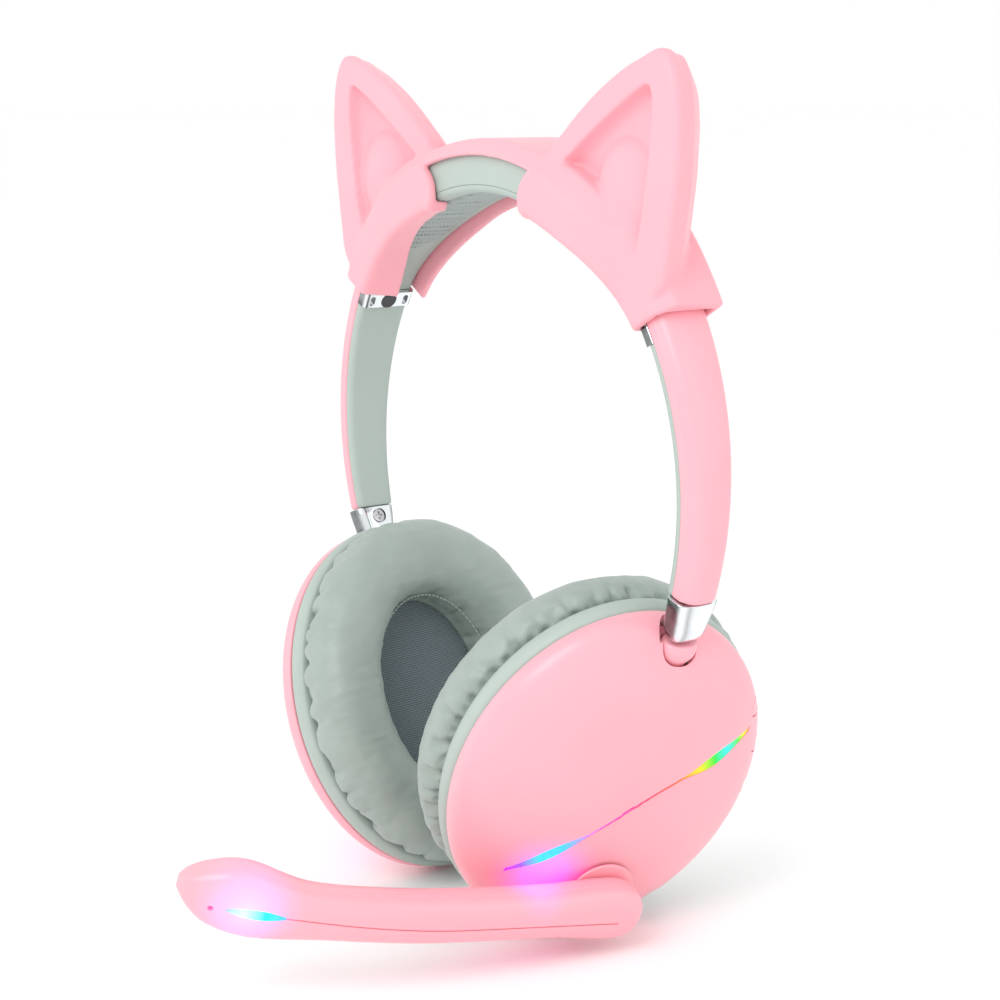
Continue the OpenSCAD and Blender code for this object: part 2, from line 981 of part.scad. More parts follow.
module boom_light_guide() {
    color([0.95, 0.97, 1.0])
        at_boom()
            at_path(light_at)
                translate([2.4, -light_len / 2, -0.9])
                    cube([3.4, light_len, 1.8]);
}

module mic_capsule() {
    color(dark)
        at_boom()
            at_path(capsule_at)
                translate([-3, 0, 0])
                    rotate([0, 90, 0])
                        cylinder(h = 2.6, r = 3);
}

// ---------- drawing ----------

headband_shell();
headband_liner();
ribbed_pad();
spring_band();
link_cable();
cat_ear_cover();
collar_left();
collar_right();
collar_screws();
arm_shell_left();
arm_shell_right();
arm_liner_left();
arm_liner_right();
slider_strip_left();
slider_strip_right();
ferrule_left();
ferrule_right();
ferrule_screw_left();
ferrule_screw_right();
neck_left();
neck_right();
pivot_pin_left();
pivot_pin_right();
cup_shell_left();
cup_shell_right();
light_guide_left();
light_guide_right();
led_board_left();
led_board_right();
mid_ring_left();
mid_ring_right();
baffle_left();
baffle_right();
driver_frame_left();
driver_frame_right();
driver_magnet_left();
driver_magnet_right();
driver_cone_left();
driver_cone_right();
ear_cushion_left();
ear_cushion_right();
mesh_cloth_left();
mesh_cloth_right();
cup_screws_left();
cup_screws_right();
main_board();
battery();
power_button();
volume_up_button();
volume_down_button();
light_button();
usb_port();
audio_jack();
mic_hub();
boom_outer();
boom_inner();
boom_light_guide();
mic_capsule();
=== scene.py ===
"""Looks of a gaming headset with a cat-ear cover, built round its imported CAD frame.

Shapes are written in millimetres and placed in metres. The wearer faces -Y, +X is the wearer's left and
+Z is up. A cup has its own frame: X out of the cup, Y back, Z up, from the middle of its shell's rim.
"""

import json
import math

import bpy
import numpy as np
from mathutils import Matrix, Vector


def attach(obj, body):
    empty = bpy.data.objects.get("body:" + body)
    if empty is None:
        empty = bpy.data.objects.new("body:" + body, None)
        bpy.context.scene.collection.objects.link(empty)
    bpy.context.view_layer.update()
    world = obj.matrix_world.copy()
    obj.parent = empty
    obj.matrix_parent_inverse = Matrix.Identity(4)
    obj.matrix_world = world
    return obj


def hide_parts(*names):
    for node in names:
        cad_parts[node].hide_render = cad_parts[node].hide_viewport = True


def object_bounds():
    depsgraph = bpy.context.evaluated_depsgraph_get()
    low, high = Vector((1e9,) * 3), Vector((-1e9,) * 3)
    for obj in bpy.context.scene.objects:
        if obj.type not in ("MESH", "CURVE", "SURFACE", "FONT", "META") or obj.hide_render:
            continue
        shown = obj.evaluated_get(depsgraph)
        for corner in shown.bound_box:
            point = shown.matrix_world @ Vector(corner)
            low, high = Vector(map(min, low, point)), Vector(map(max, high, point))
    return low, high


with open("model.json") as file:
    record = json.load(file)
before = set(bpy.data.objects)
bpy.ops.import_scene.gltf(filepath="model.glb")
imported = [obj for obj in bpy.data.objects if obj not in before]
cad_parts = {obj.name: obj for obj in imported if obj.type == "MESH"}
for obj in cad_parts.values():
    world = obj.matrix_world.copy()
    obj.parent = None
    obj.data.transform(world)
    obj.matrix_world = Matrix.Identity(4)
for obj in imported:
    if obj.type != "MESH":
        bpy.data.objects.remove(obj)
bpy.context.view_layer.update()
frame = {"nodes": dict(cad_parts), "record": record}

MM = 0.001
SIDES = {"left": 1, "right": -1}
JOINTS = {joint["name"]: joint for joint in frame["record"]["behaviour"]["joints"]}

# Headband and arms, as arcs in the plane of the headband
BAND_R = 79.2
BAND_Z = -67.2
BAND_HALF = 12.2
ARM_R = 87.1
ARM_X = -6.975
ARM_Z = -70.909
ARM_TO = 107.6
ARM_THICK = 8.5
COVER_END = 59.0
COVER_WALL = 2.1

# Cup, in its own frame; places on the rim are angles in degrees from the back, upwards
CUP_Y = 42.9
CUP_Z = 49.3
DOME = 13.6
WALL = 1.8
PIVOT = (4.4, 6.4, 38.6)
NECK_X, NECK_Y = 5.0, 6.4
LIGHT_Y = (-27.0, 35.0)
LIGHT_Z = (-22.5, 17.0)
LIGHT_LINE = 0.8
LIGHT_WINDOW = 1.6
BUTTONS = {"power": -4, "volume_down": 12, "volume_up": 27, "light": -19}
USB_ANGLE = -36
JACK_ANGLE = -56
BUTTON_R, BUTTON_HOLE_R = 2.42, 2.65
JACK_R, JACK_HOLE_R = 3.2, 3.3
HUB_HOLE_R = 5.3
HUB = (18.6, 0.0, -29.3)

# Microphone boom: straight from the hub, then an arc
BOOM_RISE = 3.5
BOOM_STRAIGHT = 40.0
BOOM_BEND = 182.0


# ---------- numbers ----------


def smooth(t):
    """Eased step: 0 below 0 and 1 above 1."""
    t = np.clip(t, 0, 1)
    return t * t * (3 - 2 * t)


def blend_min(a, b, k):
    """Smallest of two distances with a fillet of about k."""
    h = np.clip(0.5 + 0.5 * (b - a) / k, 0, 1)
    return b + (a - b) * h - k * h * (1 - h)


def blend_max(a, b, k):
    return -blend_min(-a, -b, k)


def curve_through(points, count, closed=False):
    """count points along a Catmull-Rom curve through the given ones."""
    p = np.asarray(points, float)
    n = len(p)
    spans = n if closed else n - 1
    out = []
    for t in np.linspace(0, spans, count, endpoint=not closed):
        i = min(int(t), spans - 1)
        u = t - i
        if closed:
            a, b, c, d = (p[(i + k) % n] for k in (-1, 0, 1, 2))
        else:
            a, b, c, d = (p[min(max(i + k, 0), n - 1)] for k in (-1, 0, 1, 2))
        out.append(
            0.5 * (2 * b + (c - a) * u + (2 * a - 5 * b + 4 * c - d) * u**2 + (3 * b - a - 3 * c + d) * u**3)
        )
    return np.array(out)


def outline_distance(points, x, z):
    """Signed distance in the plane to a closed outline, below zero inside it."""
    p = np.asarray(points, float)
    best = np.full(x.shape, 1e9)
    inside = np.zeros(x.shape, bool)
    for a, b in zip(p, np.roll(p, -1, 0)):
        e = b - a
        u = np.clip(((x - a[0]) * e[0] + (z - a[1]) * e[1]) / (e @ e), 0, 1)
        best = np.minimum(best, np.hypot(x - a[0] - u * e[0], z - a[1] - u * e[1]))
        crosses = (a[1] > z) != (b[1] > z)
        rise = b[1] - a[1] if abs(b[1] - a[1]) > 1e-9 else 1e-9
        inside ^= crosses & (x < a[0] + (z - a[1]) * e[0] / rise)
    return np.where(inside, -best, best)


def noise(points, size, seed):
    """Smooth noise from -1 to 1 as a fixed sum of waves, for displacing points."""
    r = np.random.default_rng(seed)
    total = np.zeros(len(points))
    for _ in range(14):
        direction = r.normal(size=3)
        direction *= 2 * math.pi / (size * r.uniform(0.7, 1.6)) / np.linalg.norm(direction)
        total += np.sin(points @ direction + r.uniform(0, 6.28))
    return total / 5


def full_turn(count):
    """Angles of count even steps round a circle."""
    return np.linspace(0, 2 * math.pi, count, endpoint=False)


# ---------- meshes ----------


def to_object(name, points, faces, place=None, sharp=38):
    """Mesh object from points in millimetres; place is the matrix of their frame."""
    mesh = bpy.data.meshes.new(name)
    mesh.from_pydata((np.asarray(points, float) * MM).tolist(), [], faces)
    mesh.validate()
    if place is not None:
        mesh.transform(place)
        if place.determinant() < 0:
            mesh.flip_normals()
    mesh.update()
    mesh.shade_smooth()
    if sharp:
        mesh.set_sharp_from_angle(angle=math.radians(sharp))
    obj = bpy.data.objects.new(name, mesh)
    bpy.context.scene.collection.objects.link(obj)
    return obj


def loft_parts(rings, caps=True, wrap=False):
    """Points and faces of a skin over rings of points."""
    rings = np.asarray(rings, float)
    m, n = rings.shape[:2]
    points = rings.reshape(-1, 3).tolist()
    faces = []
    for k in range(m if wrap else m - 1):
        for i in range(n):
            j = (i + 1) % n
            a, b = k * n, ((k + 1) % m) * n
            faces.append((a + i, a + j, b + j, b + i))
    if caps and not wrap:
        for k, order in ((0, -1), (m - 1, 1)):
            points.append(rings[k].mean(0).tolist())
            middle = len(points) - 1
            for i in range(n):
                j = (i + 1) % n
                pair = (k * n + i, k * n + j)
                faces.append((*pair[::order], middle))
    return points, faces


def loft(name, rings, place=None, sharp=38, caps=True, wrap=False):
    points, faces = loft_parts(rings, caps, wrap)
    obj = to_object(name, points, faces, place, sharp)
    outward(obj)
    return obj


def outward(obj):
    """Turns the faces of a closed mesh outwards."""
    mesh = obj.data
    mesh.calc_loop_triangles()
    co = np.array([v.co for v in mesh.vertices])
    tri = np.array([t.vertices for t in mesh.loop_triangles])
    a, b, c = co[tri[:, 0]], co[tri[:, 1]], co[tri[:, 2]]
    if (a * np.cross(b, c)).sum() < 0:
        mesh.flip_normals()


def surface_net(field, low, high, step):
    """Points and faces of the surface where field(x, y, z) is zero."""
    axes = [np.arange(a, b + step, step) for a, b in zip(low, high)]
    value = field(*np.meshgrid(*axes, indexing="ij"))
    cells = np.array(value.shape) - 1
    size = int(cells.prod())
    total, count, quads = np.zeros((size, 3)), np.zeros(size), []
    unit = np.eye(3, dtype=int)
    for axis in range(3):
        u, v = unit[(axis + 1) % 3], unit[(axis + 2) % 3]
        first = value[tuple(slice(0, -1) if k == axis else slice(None) for k in range(3))]
        last = value[tuple(slice(1, None) if k == axis else slice(None) for k in range(3))]
        start = np.argwhere((first < 0) != (last < 0))
        a, b = first[tuple(start.T)], last[tuple(start.T)]
        at = start + (a / (a - b))[:, None] * unit[axis]
        keep = np.ones(len(start), bool)
        around = []
        for du, dv in ((0, 0), (1, 0), (1, 1), (0, 1)):
            cell = start - du * u - dv * v
            keep &= ((cell >= 0) & (cell < cells)).all(1)
            around.append(np.ravel_multi_index(np.clip(cell, 0, cells - 1).T, cells))
        for index in around:
            count += np.bincount(index[keep], minlength=size)
            for k in range(3):
                total[:, k] += np.bincount(index[keep], at[keep, k], minlength=size)
        quad = np.stack(around, 1)[keep]
        quads.append(np.where((a[keep] < 0)[:, None], quad, quad[:, ::-1]))
    used = np.flatnonzero(count)
    number = np.zeros(size, int)
    number[used] = np.arange(len(used))
    points = total[used] / count[used, None] * step + np.array(low)
    return points, number[np.concatenate(quads)].tolist()


def relax(obj, factor, times):
    """Smooths the steps that a sampled surface has."""
    modifier = obj.modifiers.new("relax", "SMOOTH")
    modifier.factor = factor
    modifier.iterations = times
    settle(obj)


def settle(obj):
    """Applies an object's modifiers."""
    graph = bpy.context.evaluated_depsgraph_get()
    mesh = bpy.data.meshes.new_from_object(obj.evaluated_get(graph), depsgraph=graph)
    obj.modifiers.clear()
    obj.data = mesh


def cut(obj, cutters, sharp=38, adds=()):
    """Adds closed pieces to a closed piece, takes closed cutters out of it, and deletes both."""
    for operation, tools in (("UNION", adds), ("DIFFERENCE", cutters)):
        for tool in tools:
            modifier = obj.modifiers.new("cut", "BOOLEAN")
            modifier.operation = operation
            modifier.solver = "EXACT"
            modifier.object = tool
    settle(obj)
    for cutter in (*adds, *cutters):
        bpy.data.objects.remove(cutter)
    obj.data.shade_smooth()
    obj.data.set_sharp_from_angle(angle=math.radians(sharp))


def super_ring(half_a, half_b, power=2.6, count=48):
    """Points of a superellipse in a plane."""
    t = full_turn(count)
    c, s = np.cos(t), np.sin(t)
    return np.stack(
        [half_a * np.sign(c) * abs(c) ** (2 / power), half_b * np.sign(s) * abs(s) ** (2 / power)], 1
    )


def bar(name, start, end, radius, place=None, count=32, rounding=0.0):
    """Round bar between two points, with its ends rounded off if asked."""
    a, b = np.array(start, float), np.array(end, float)
    axis = (b - a) / np.linalg.norm(b - a)
    side = np.cross(axis, (0, 0, 1) if abs(axis[2]) < 0.9 else (1, 0, 0))
    side /= np.linalg.norm(side)
    other = np.cross(axis, side)
    t = full_turn(count)[:, None]
    circle = np.cos(t) * side + np.sin(t) * other
    steps = [(0, radius)]
    if rounding:
        turn = np.linspace(0, math.pi / 2, 5)[::-1]
        steps = [(rounding * (1 - math.sin(q)), radius - rounding * (1 - math.cos(q))) for q in turn]
    rings = [a + axis * s + circle * r for s, r in steps]
    rings += [b - axis * s + circle * r for s, r in steps[::-1]]
    return loft(name, rings, place)


def join(name, objects):
    """Makes one mesh out of several."""
    points, faces = [], []
    for obj in objects:
        first = len(points)
        points += [v.co / MM for v in obj.data.vertices]
        faces += [[first + i for i in face.vertices] for face in obj.data.polygons]
        bpy.data.objects.remove(obj)
    return to_object(name, points, faces)


def show(obj, body, slot, material, *nodes):
    """Gives a finished piece its material and body, and hides the CAD nodes that it stands for. The slot is
    not used.
    """
    obj.data.materials.clear()
    obj.data.materials.append(material)
    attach(obj, body)
    if nodes:
        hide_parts(*nodes)
    return obj


# ---------- frames ----------


def axis_of(name):
    return Vector(JOINTS[name]["axis"])


def cup_frame(tag):
    """Matrix of a cup's own frame, mirrored on the right, from its two hinges."""
    side = SIDES[tag]
    up = axis_of(tag + "_swivel") * side
    back = axis_of(tag + "_tilt") * -side
    out = back.cross(up) * side
    turn = Matrix((out, back, up)).transposed()
    pivot = Vector(JOINTS[tag + "_tilt"]["pos_m"])
    place = turn.to_4x4()
    place.translation = pivot - turn @ (Vector(PIVOT) * MM)
    return place


def stem_frame(tag):
    """Matrix of the stem under an arm: X out, Z up along the stem, from the arm's end."""
    side = SIDES[tag]
    up = axis_of(tag + "_swivel") * side
    back = Vector((0, 1, 0))
    out = back.cross(up) * side
    place = Matrix((out, back, up)).transposed().to_4x4()
    place.translation = Vector(JOINTS[tag + "_swivel"]["pos_m"])
    return place


CUPS = {tag: cup_frame(tag) for tag in SIDES}
STEMS = {tag: stem_frame(tag) for tag in SIDES}
MIRROR = {"left": Matrix.Identity(4), "right": Matrix.Diagonal((-1, 1, 1, 1))}


# ---------- materials ----------


def put(node, **values):
    """Sets inputs of a node by name, with _ for a space."""
    for name, value in values.items():
        node.inputs[name.replace("_", " ")].default_value = value


class Nodes:
    """Short way to write one material's node tree."""

    def __init__(self, name, colour, rough, metal=0.0):
        self.material = bpy.data.materials.new(name)
        self.material.use_nodes = True
        self.tree = self.material.node_tree
        self.shader = self.tree.nodes["Principled BSDF"]
        put(self.shader, Base_Color=(*colour, 1), Roughness=rough, Metallic=metal)
        self.colour = colour
        self.place = self.add("ShaderNodeTexCoord").outputs["Object"]

    def add(self, kind, **values):
        node = self.tree.nodes.new(kind)
        for key, value in values.items():
            setattr(node, key, value)
        return node

    def link(self, a, b):
        self.tree.links.new(a, b)

    def noise(self, scale, detail=3.0, stretch=None):
        node = self.add("ShaderNodeTexNoise")
        put(node, Scale=scale, Detail=detail)
        place = self.place
        if stretch:
            mapping = self.add("ShaderNodeMapping")
            put(mapping, Scale=stretch)
            self.link(self.place, mapping.inputs["Vector"])
            place = mapping.outputs["Vector"]
        self.link(place, node.inputs["Vector"])
        return node.outputs["Fac"]

    def math(self, operation, a, b=None, c=None):
        node = self.add("ShaderNodeMath", operation=operation)
        for socket, value in zip(node.inputs, (a, b, c)):
            if value is None:
                continue
            if isinstance(value, (int, float)):
                socket.default_value = value
            else:
                self.link(value, socket)
        return node.outputs[0]

    def remap(self, value, low, high, to_low, to_high):
        node = self.add("ShaderNodeMapRange")
        put(node, From_Min=low, From_Max=high, To_Min=to_low, To_Max=to_high)
        self.link(value, node.inputs["Value"])
        return node.outputs[0]

    def cells(self, scale, randomness=1.0, **values):
        """Distance in a pattern of cells."""
        node = self.add("ShaderNodeTexVoronoi", **values)
        put(node, Scale=scale, Randomness=randomness)
        self.link(self.place, node.inputs["Vector"])
        return node.outputs["Distance"]

    def dot(self, vector, direction):
        node = self.add("ShaderNodeVectorMath", operation="DOT_PRODUCT")
        self.link(vector, node.inputs[0])
        node.inputs[1].default_value = direction
        return node.outputs["Value"]

    def ramp(self, share, stops):
        """Colour at a share of the way through stops: [place, colour]."""
        node = self.add("ShaderNodeValToRGB")
        while len(node.color_ramp.elements) < len(stops):
            node.color_ramp.elements.new(0.5)
        for element, (place, colour) in zip(node.color_ramp.elements, stops):
            element.position = place
            element.color = (*colour, 1)
        self.link(share, node.inputs["Fac"])
        return node.outputs["Color"]

    def mix(self, factor, a, b, blend="MIX"):
        node = self.add("ShaderNodeMix", data_type="RGBA", blend_type=blend)
        if isinstance(factor, float):
            node.inputs[0].default_value = factor
        else:
            self.link(factor, node.inputs[0])
        for socket, value in ((node.inputs[6], a), (node.inputs[7], b)):
            if isinstance(value, tuple):
                socket.default_value = (*value, 1)
            else:
                self.link(value, socket)
        return node.outputs[2]

    def vary(self, share=0.05, scale=60, wear=0.0):
        """Base colour with soft clouds, and paler worn edges if asked."""
        dark = tuple(c * (1 - share) for c in self.colour)
        pale = tuple(min(1, c * (1 + share)) for c in self.colour)
        colour = self.mix(self.remap(self.noise(scale), 0.3, 0.7, 0, 1), dark, pale)
        if wear:
            edge = self.add("ShaderNodeNewGeometry").outputs["Pointiness"]
            worn = self.math("MULTIPLY", self.remap(edge, 0.52, 0.6, 0, wear), self.noise(400))
            colour = self.mix(worn, colour, tuple(min(1, c * 1.25 + 0.05) for c in self.colour))
        self.paint(colour)

    def paint(self, colour):
        self.link(colour, self.shader.inputs["Base Color"])

    def roughness(self, low, high, scale=300):
        self.link(self.remap(self.noise(scale), 0.3, 0.7, low, high), self.shader.inputs["Roughness"])

    def bump(self, height, depth, strength=1.0):
        node = self.add("ShaderNodeBump")
        put(node, Strength=strength, Distance=depth)
        self.link(height, node.inputs["Height"])
        self.link(node.outputs["Normal"], self.shader.inputs["Normal"])

    def painted_glow(self, painted_glow_spots, strength):
        """Painted glow near some points: emission in the surface that stands in for the lights' glow bleeding
        through and onto it: [place, reach, colour].
        """
        total = None
        for place, reach, colour in painted_glow_spots:
            away = self.add("ShaderNodeVectorMath", operation="DISTANCE")
            self.link(self.place, away.inputs[0])
            away.inputs[1].default_value = place
            near = self.math("POWER", self.remap(away.outputs["Value"], 0, reach, 1, 0), 2.0)
            painted_tint = self.mix(near, (0.0, 0.0, 0.0), colour)
            total = painted_tint if total is None else self.mix(1.0, total, painted_tint, "ADD")
        self.link(total, self.shader.inputs["Emission Color"])
        put(self.shader, Emission_Strength=strength)


PINK = (0.93, 0.395, 0.455)
GREY = (0.40, 0.475, 0.435)


def plastic(name, colour, rough=0.34, coat=0.25, grain=0.00004, painted_glow=None, strength=1.0):
    """Moulded satin plastic with a fine texture."""
    n = Nodes(name, colour, rough)
    n.vary(0.02, 40, wear=0.35)
    n.roughness(rough - 0.05, rough + 0.07, 500)
    put(n.shader, Coat_Weight=coat, Coat_Roughness=0.22)
    n.bump(n.noise(2600, 2), grain, 0.35)
    # painted glow: emission near the given points, for light from the lit strips falling on the plastic
    if painted_glow:
        n.painted_glow(painted_glow, strength)
    return n.material


def silicone(name, colour):
    """Soft matt silicone with a dusty sheen."""
    n = Nodes(name, colour, 0.55)
    n.vary(0.025, 35, wear=0.25)
    n.roughness(0.48, 0.62, 400)
    put(n.shader, Sheen_Weight=0.25, Sheen_Roughness=0.4)
    n.bump(n.noise(1800, 4), 0.00006, 0.4)
    return n.material


def leather(name, colour):
    """Leatherette: small pebbled grain and fine creases."""
    n = Nodes(name, colour, 0.42)
    n.vary(0.05, 90)
    n.roughness(0.36, 0.5, 700)
    pebbles = n.cells(1500, feature="SMOOTH_F1")
    creases = n.noise(220, 6, (1.0, 1.0, 2.4))
    height = n.math("MULTIPLY_ADD", creases, 1.6, n.math("MULTIPLY", pebbles, 0.5))
    n.bump(height, 0.00012, 0.55)
    put(n.shader, Sheen_Weight=0.12)
    return n.material


def metal(name, colour, rough, brushed=0.0):
    """Polished plating, or brushed steel when brushed is above zero."""
    n = Nodes(name, colour, rough, 1.0)
    n.vary(0.03, 50)
    n.roughness(rough * 0.8, rough * 1.3 + 0.01, 500)
    stretch = (1.0, 1.0, 30.0) if brushed else None
    n.bump(n.noise(900, 3, stretch), 0.00001 + brushed * 0.00003, 0.25)
    return n.material


def chrome_with_painted_reflection(name):
    """Polished plating with a painted reflection: its colour runs through dark and light bands by how far
    each face turns to the front or the back, as if a dark studio card stood there.
    """
    n = Nodes(name, (0.78, 0.82, 0.84), 0.06, 1.0)
    # painted reflection: bands of dark and light by the face's normal against +Y, standing in for a dark card
    # reflected from the front and the back
    facing = n.dot(n.add("ShaderNodeNewGeometry").outputs["Normal"], (0.0, 1.0, 0.0))
    painted_reflection_tones = (
        (0.0, 0.12), (0.12, 0.8), (0.3, 0.85), (0.42, 0.5), (0.5, 0.9), (0.62, 0.95), (0.78, 0.25),
        (0.9, 0.8),
    )
    stops = [(place, (tone * 0.93, tone * 0.98, tone)) for place, tone in painted_reflection_tones]
    wobble = n.math("MULTIPLY_ADD", n.noise(120), 0.12, -0.06)
    n.paint(n.ramp(n.math("ADD", n.remap(facing, -1, 1, 0, 1), wobble), stops))
    n.roughness(0.04, 0.09, 500)
    return n.material


def woven(name, colour, thread):
    """Woven cloth: warp and weft threads across the cup's opening."""
    n = Nodes(name, colour, 0.8)
    warp = n.add("ShaderNodeTexWave", wave_type="BANDS", bands_direction="Y")
    weft = n.add("ShaderNodeTexWave", wave_type="BANDS", bands_direction="Z")
    for wave in (warp, weft):
        put(wave, Scale=0.314 / thread, Distortion=0.6, Detail=1.0)
        n.link(n.place, wave.inputs["Vector"])
    height = n.math("MULTIPLY", warp.outputs["Fac"], weft.outputs["Fac"])
    dark = tuple(c * 0.42 for c in colour)
    pale = tuple(min(1, c * 1.5) for c in colour)
    n.paint(n.mix(height, dark, pale))
    n.bump(height, 0.0002, 0.8)
    put(n.shader, Sheen_Weight=0.3)
    return n.material


def perforated(name, colour):
    """Soft insert with rows of small round holes, painted darker inside for the shade in them."""
    n = Nodes(name, colour, 0.5)
    hole = n.remap(n.cells(800, 0.12), 0.16, 0.3, 0, 1)
    # painted shade: the holes' colour drops to 0.45 of the insert's, for the shade inside them
    n.paint(n.mix(hole, tuple(c * 0.45 for c in colour), colour))
    n.bump(hole, 0.0003, 0.8)
    return n.material


def rainbow(name, start, end, stops, strength):
    """Lit strip whose colour runs from start to end, both in metres."""
    n = Nodes(name, (0.9, 0.95, 1.0), 0.25)
    a, b = Vector(start), Vector(end)
    along = (b - a) / (b - a).length_squared
    share = n.math("SUBTRACT", n.dot(n.place, along), float(a.dot(along)))
    speck = n.remap(n.noise(300), 0.2, 0.8, 0.8, 1.1)
    bright = n.mix(1.0, n.ramp(share, stops), speck, "MULTIPLY")
    n.link(bright, n.shader.inputs["Emission Color"])
    n.paint(n.mix(0.9, bright, (0.0, 0.0, 0.0)))
    put(n.shader, Specular_IOR_Level=0.15, Emission_Strength=strength)
    return n.material


def board(name):
    """Solder mask with darker traces."""
    n = Nodes(name, (0.05, 0.22, 0.13), 0.35)
    trace = n.remap(n.cells(260, feature="DISTANCE_TO_EDGE", distance="MANHATTAN"), 0.02, 0.06, 0, 1)
    n.paint(n.mix(trace, (0.5, 0.4, 0.16), n.colour))
    n.bump(trace, 0.00003, 0.5)
    return n.material


CYAN = (0.02, 0.75, 1.0)
CUP_STOPS = [
    (0.0, (0.6, 0.0, 0.7)), (0.06, (0.3, 0.1, 1.0)), (0.13, CYAN), (0.22, (0.05, 0.6, 1.0)),
    (0.3, (0.4, 0.25, 1.0)), (0.38, (1.0, 0.05, 0.6)), (0.55, (0.75, 0.06, 0.16)), (0.68, (0.9, 0.15, 0.04)),
    (0.76, (0.8, 0.6, 0.0)), (0.83, (0.02, 0.85, 0.03)), (0.89, (0.02, 0.8, 0.7)), (0.94, (0.05, 0.85, 0.05)),
    (0.97, (0.7, 0.7, 0.02)), (1.0, (0.9, 0.2, 0.1)),
]
BOOM_STOPS = [(0.0, (0.1, 0.5, 1.0)), (0.3, CYAN), (0.65, (0.6, 0.95, 1.0)), (1.0, (0.25, 0.35, 1.0))]


def light_z(t):
    """Height of the light's middle line at the share t of its length."""
    return LIGHT_Z[0] + (LIGHT_Z[1] - LIGHT_Z[0]) * t + 2.8 * np.sin(np.pi * np.clip(t, 0, 1) ** 1.2) ** 3


def light_half(t):
    """Half width: a wide window near each end and a thin line between."""
    first = np.sin(np.pi * np.minimum(t / 0.32, 1)) ** 1.5
    last = np.sin(np.pi * np.maximum((t - 0.68) / 0.32, 0)) ** 1.5
    return LIGHT_LINE + LIGHT_WINDOW * (first + last)


def light_y(t):
    return LIGHT_Y[0] + (LIGHT_Y[1] - LIGHT_Y[0]) * t


def cup_point(tag, x, y, z):
    return CUPS[tag] @ (Vector((x, y, z)) * MM)


def hub_frame():
    place = Matrix.Translation(Vector(HUB) * MM) @ Matrix.Rotation(math.radians(-BOOM_RISE), 4, "X")
    return CUPS["left"] @ place


BOOM = hub_frame()


def on_boom(s, out, z):
    """Point beside the boom's middle line, s from the hub."""
    t = max(s - BOOM_STRAIGHT, 0) / BOOM_BEND
    r = BOOM_BEND + out
    return (r * math.cos(t) - BOOM_BEND, -min(s, BOOM_STRAIGHT) - r * math.sin(t), z)


def boom_point(s, out, z):
    return BOOM @ (Vector(on_boom(s, out, z)) * MM)


# Painted glow: magenta emission in the boom near the cup's lit window, and violet near the boom's own light
# at its tip
PAINTED_HALO = (1.0, 0.05, 0.8)
BOOM_PAINTED_GLOW = [(boom_point(97, 5.5, 1), 0.016, (0.75, 0.25, 1.0)), (boom_point(22, -3, 6.5), 0.012, PAINTED_HALO)]
M = {
    "silicone": silicone("pink_silicone", PINK),
    "pink": plastic("pink_plastic", PINK),
    "boom": plastic("pink_boom_painted_glow", PINK, painted_glow=BOOM_PAINTED_GLOW, strength=1.3),
    "grey": plastic("grey_plastic", GREY, rough=0.5, coat=0.05, grain=0.00008),
    "leather": leather("grey_leather", (0.315, 0.38, 0.345)),
    "pad": perforated("pad_insert", (0.33, 0.385, 0.37)),
    "cloth": woven("mesh_cloth", (0.185, 0.235, 0.26), 0.0006),
    "chrome": chrome_with_painted_reflection("chrome"),
    "steel": metal("brushed_steel", (0.62, 0.62, 0.64), 0.3, 1.0),
    "screw": metal("screw_steel", (0.5, 0.5, 0.52), 0.28, 0.5),
    "board": board("circuit_board"),
    "cone": plastic("cone_film", (0.72, 0.74, 0.76), rough=0.2, coat=0.6),
    "dark": plastic("dark_plastic", (0.03, 0.03, 0.035), rough=0.45, coat=0.0, grain=0.0001),
    "cell": plastic("battery_wrap", (0.55, 0.57, 0.6), rough=0.3),
    "thread": leather("grey_thread", (0.33, 0.395, 0.36)),
    "strip_boom": rainbow("lit_strip_boom", boom_point(88, 5, 0), boom_point(103, 5, 0), BOOM_STOPS, 1.5),
}
for tag in SIDES:
    # painted halo: magenta emission in the shell round the lower end of its light, for the light spilling
    # onto the plastic
    painted_halo_spot = cup_point(tag, 10, -16, -23.5)
    M["shell_" + tag] = plastic("pink_shell_painted_glow_" + tag, PINK, painted_glow=[(painted_halo_spot, 0.017, PAINTED_HALO)], strength=1.7)
    start, end = (cup_point(tag, 9, y, z) for y, z in zip(LIGHT_Y, LIGHT_Z))
    M["strip_" + tag] = rainbow("lit_strip_" + tag, start, end, CUP_STOPS, 1.25)


# ---------- headband and its cover ----------


def rounded(half, low, high, low_round, high_round):
    """Closed outline in [front-back, radius]: a rectangle with round corners."""
    corner_steps, side_steps = 6, 5
    corners = []
    for side, level, bend, start in (
        (1, low + low_round, low_round, -90),
        (1, high - high_round, high_round, 0),
        (-1, high - high_round, high_round, 90),
        (-1, low + low_round, low_round, 180),
    ):
        turn = np.radians(np.linspace(start, start + 90, corner_steps))
        corners.append(np.stack([side * (half - bend) + bend * np.cos(turn), level + bend * np.sin(turn)], 1))
    out = []
    for one, two in zip(corners, corners[1:] + corners[:1]):
        out += [one, np.linspace(one[-1], two[0], side_steps + 2)[1:-1]]
    return np.concatenate(out)


def sweep(section, angles, centre):
    """Rings of a section in [front-back, radius] round a centre in the plane of the headband."""
    rings = []
    for a in angles:
        y, r = section(a).T
        q = math.radians(a)
        rings.append(np.stack([centre[0] + r * math.sin(q), y, centre[1] + r * math.cos(q)], 1))
    return rings


BAND = (0.0, BAND_Z)
ARM = (ARM_X, ARM_Z)
BAND_TIP = 56.4
LINER_TIP = 58.9
INSERT_TIP = 44
BAND_IN = 67.2


def narrowing(a):
    """0 along the top of the headband and 1 at its ends."""
    return smooth((abs(a) - 28) / 32)


def band_half(a):
    return BAND_HALF - 3.6 * narrowing(a)


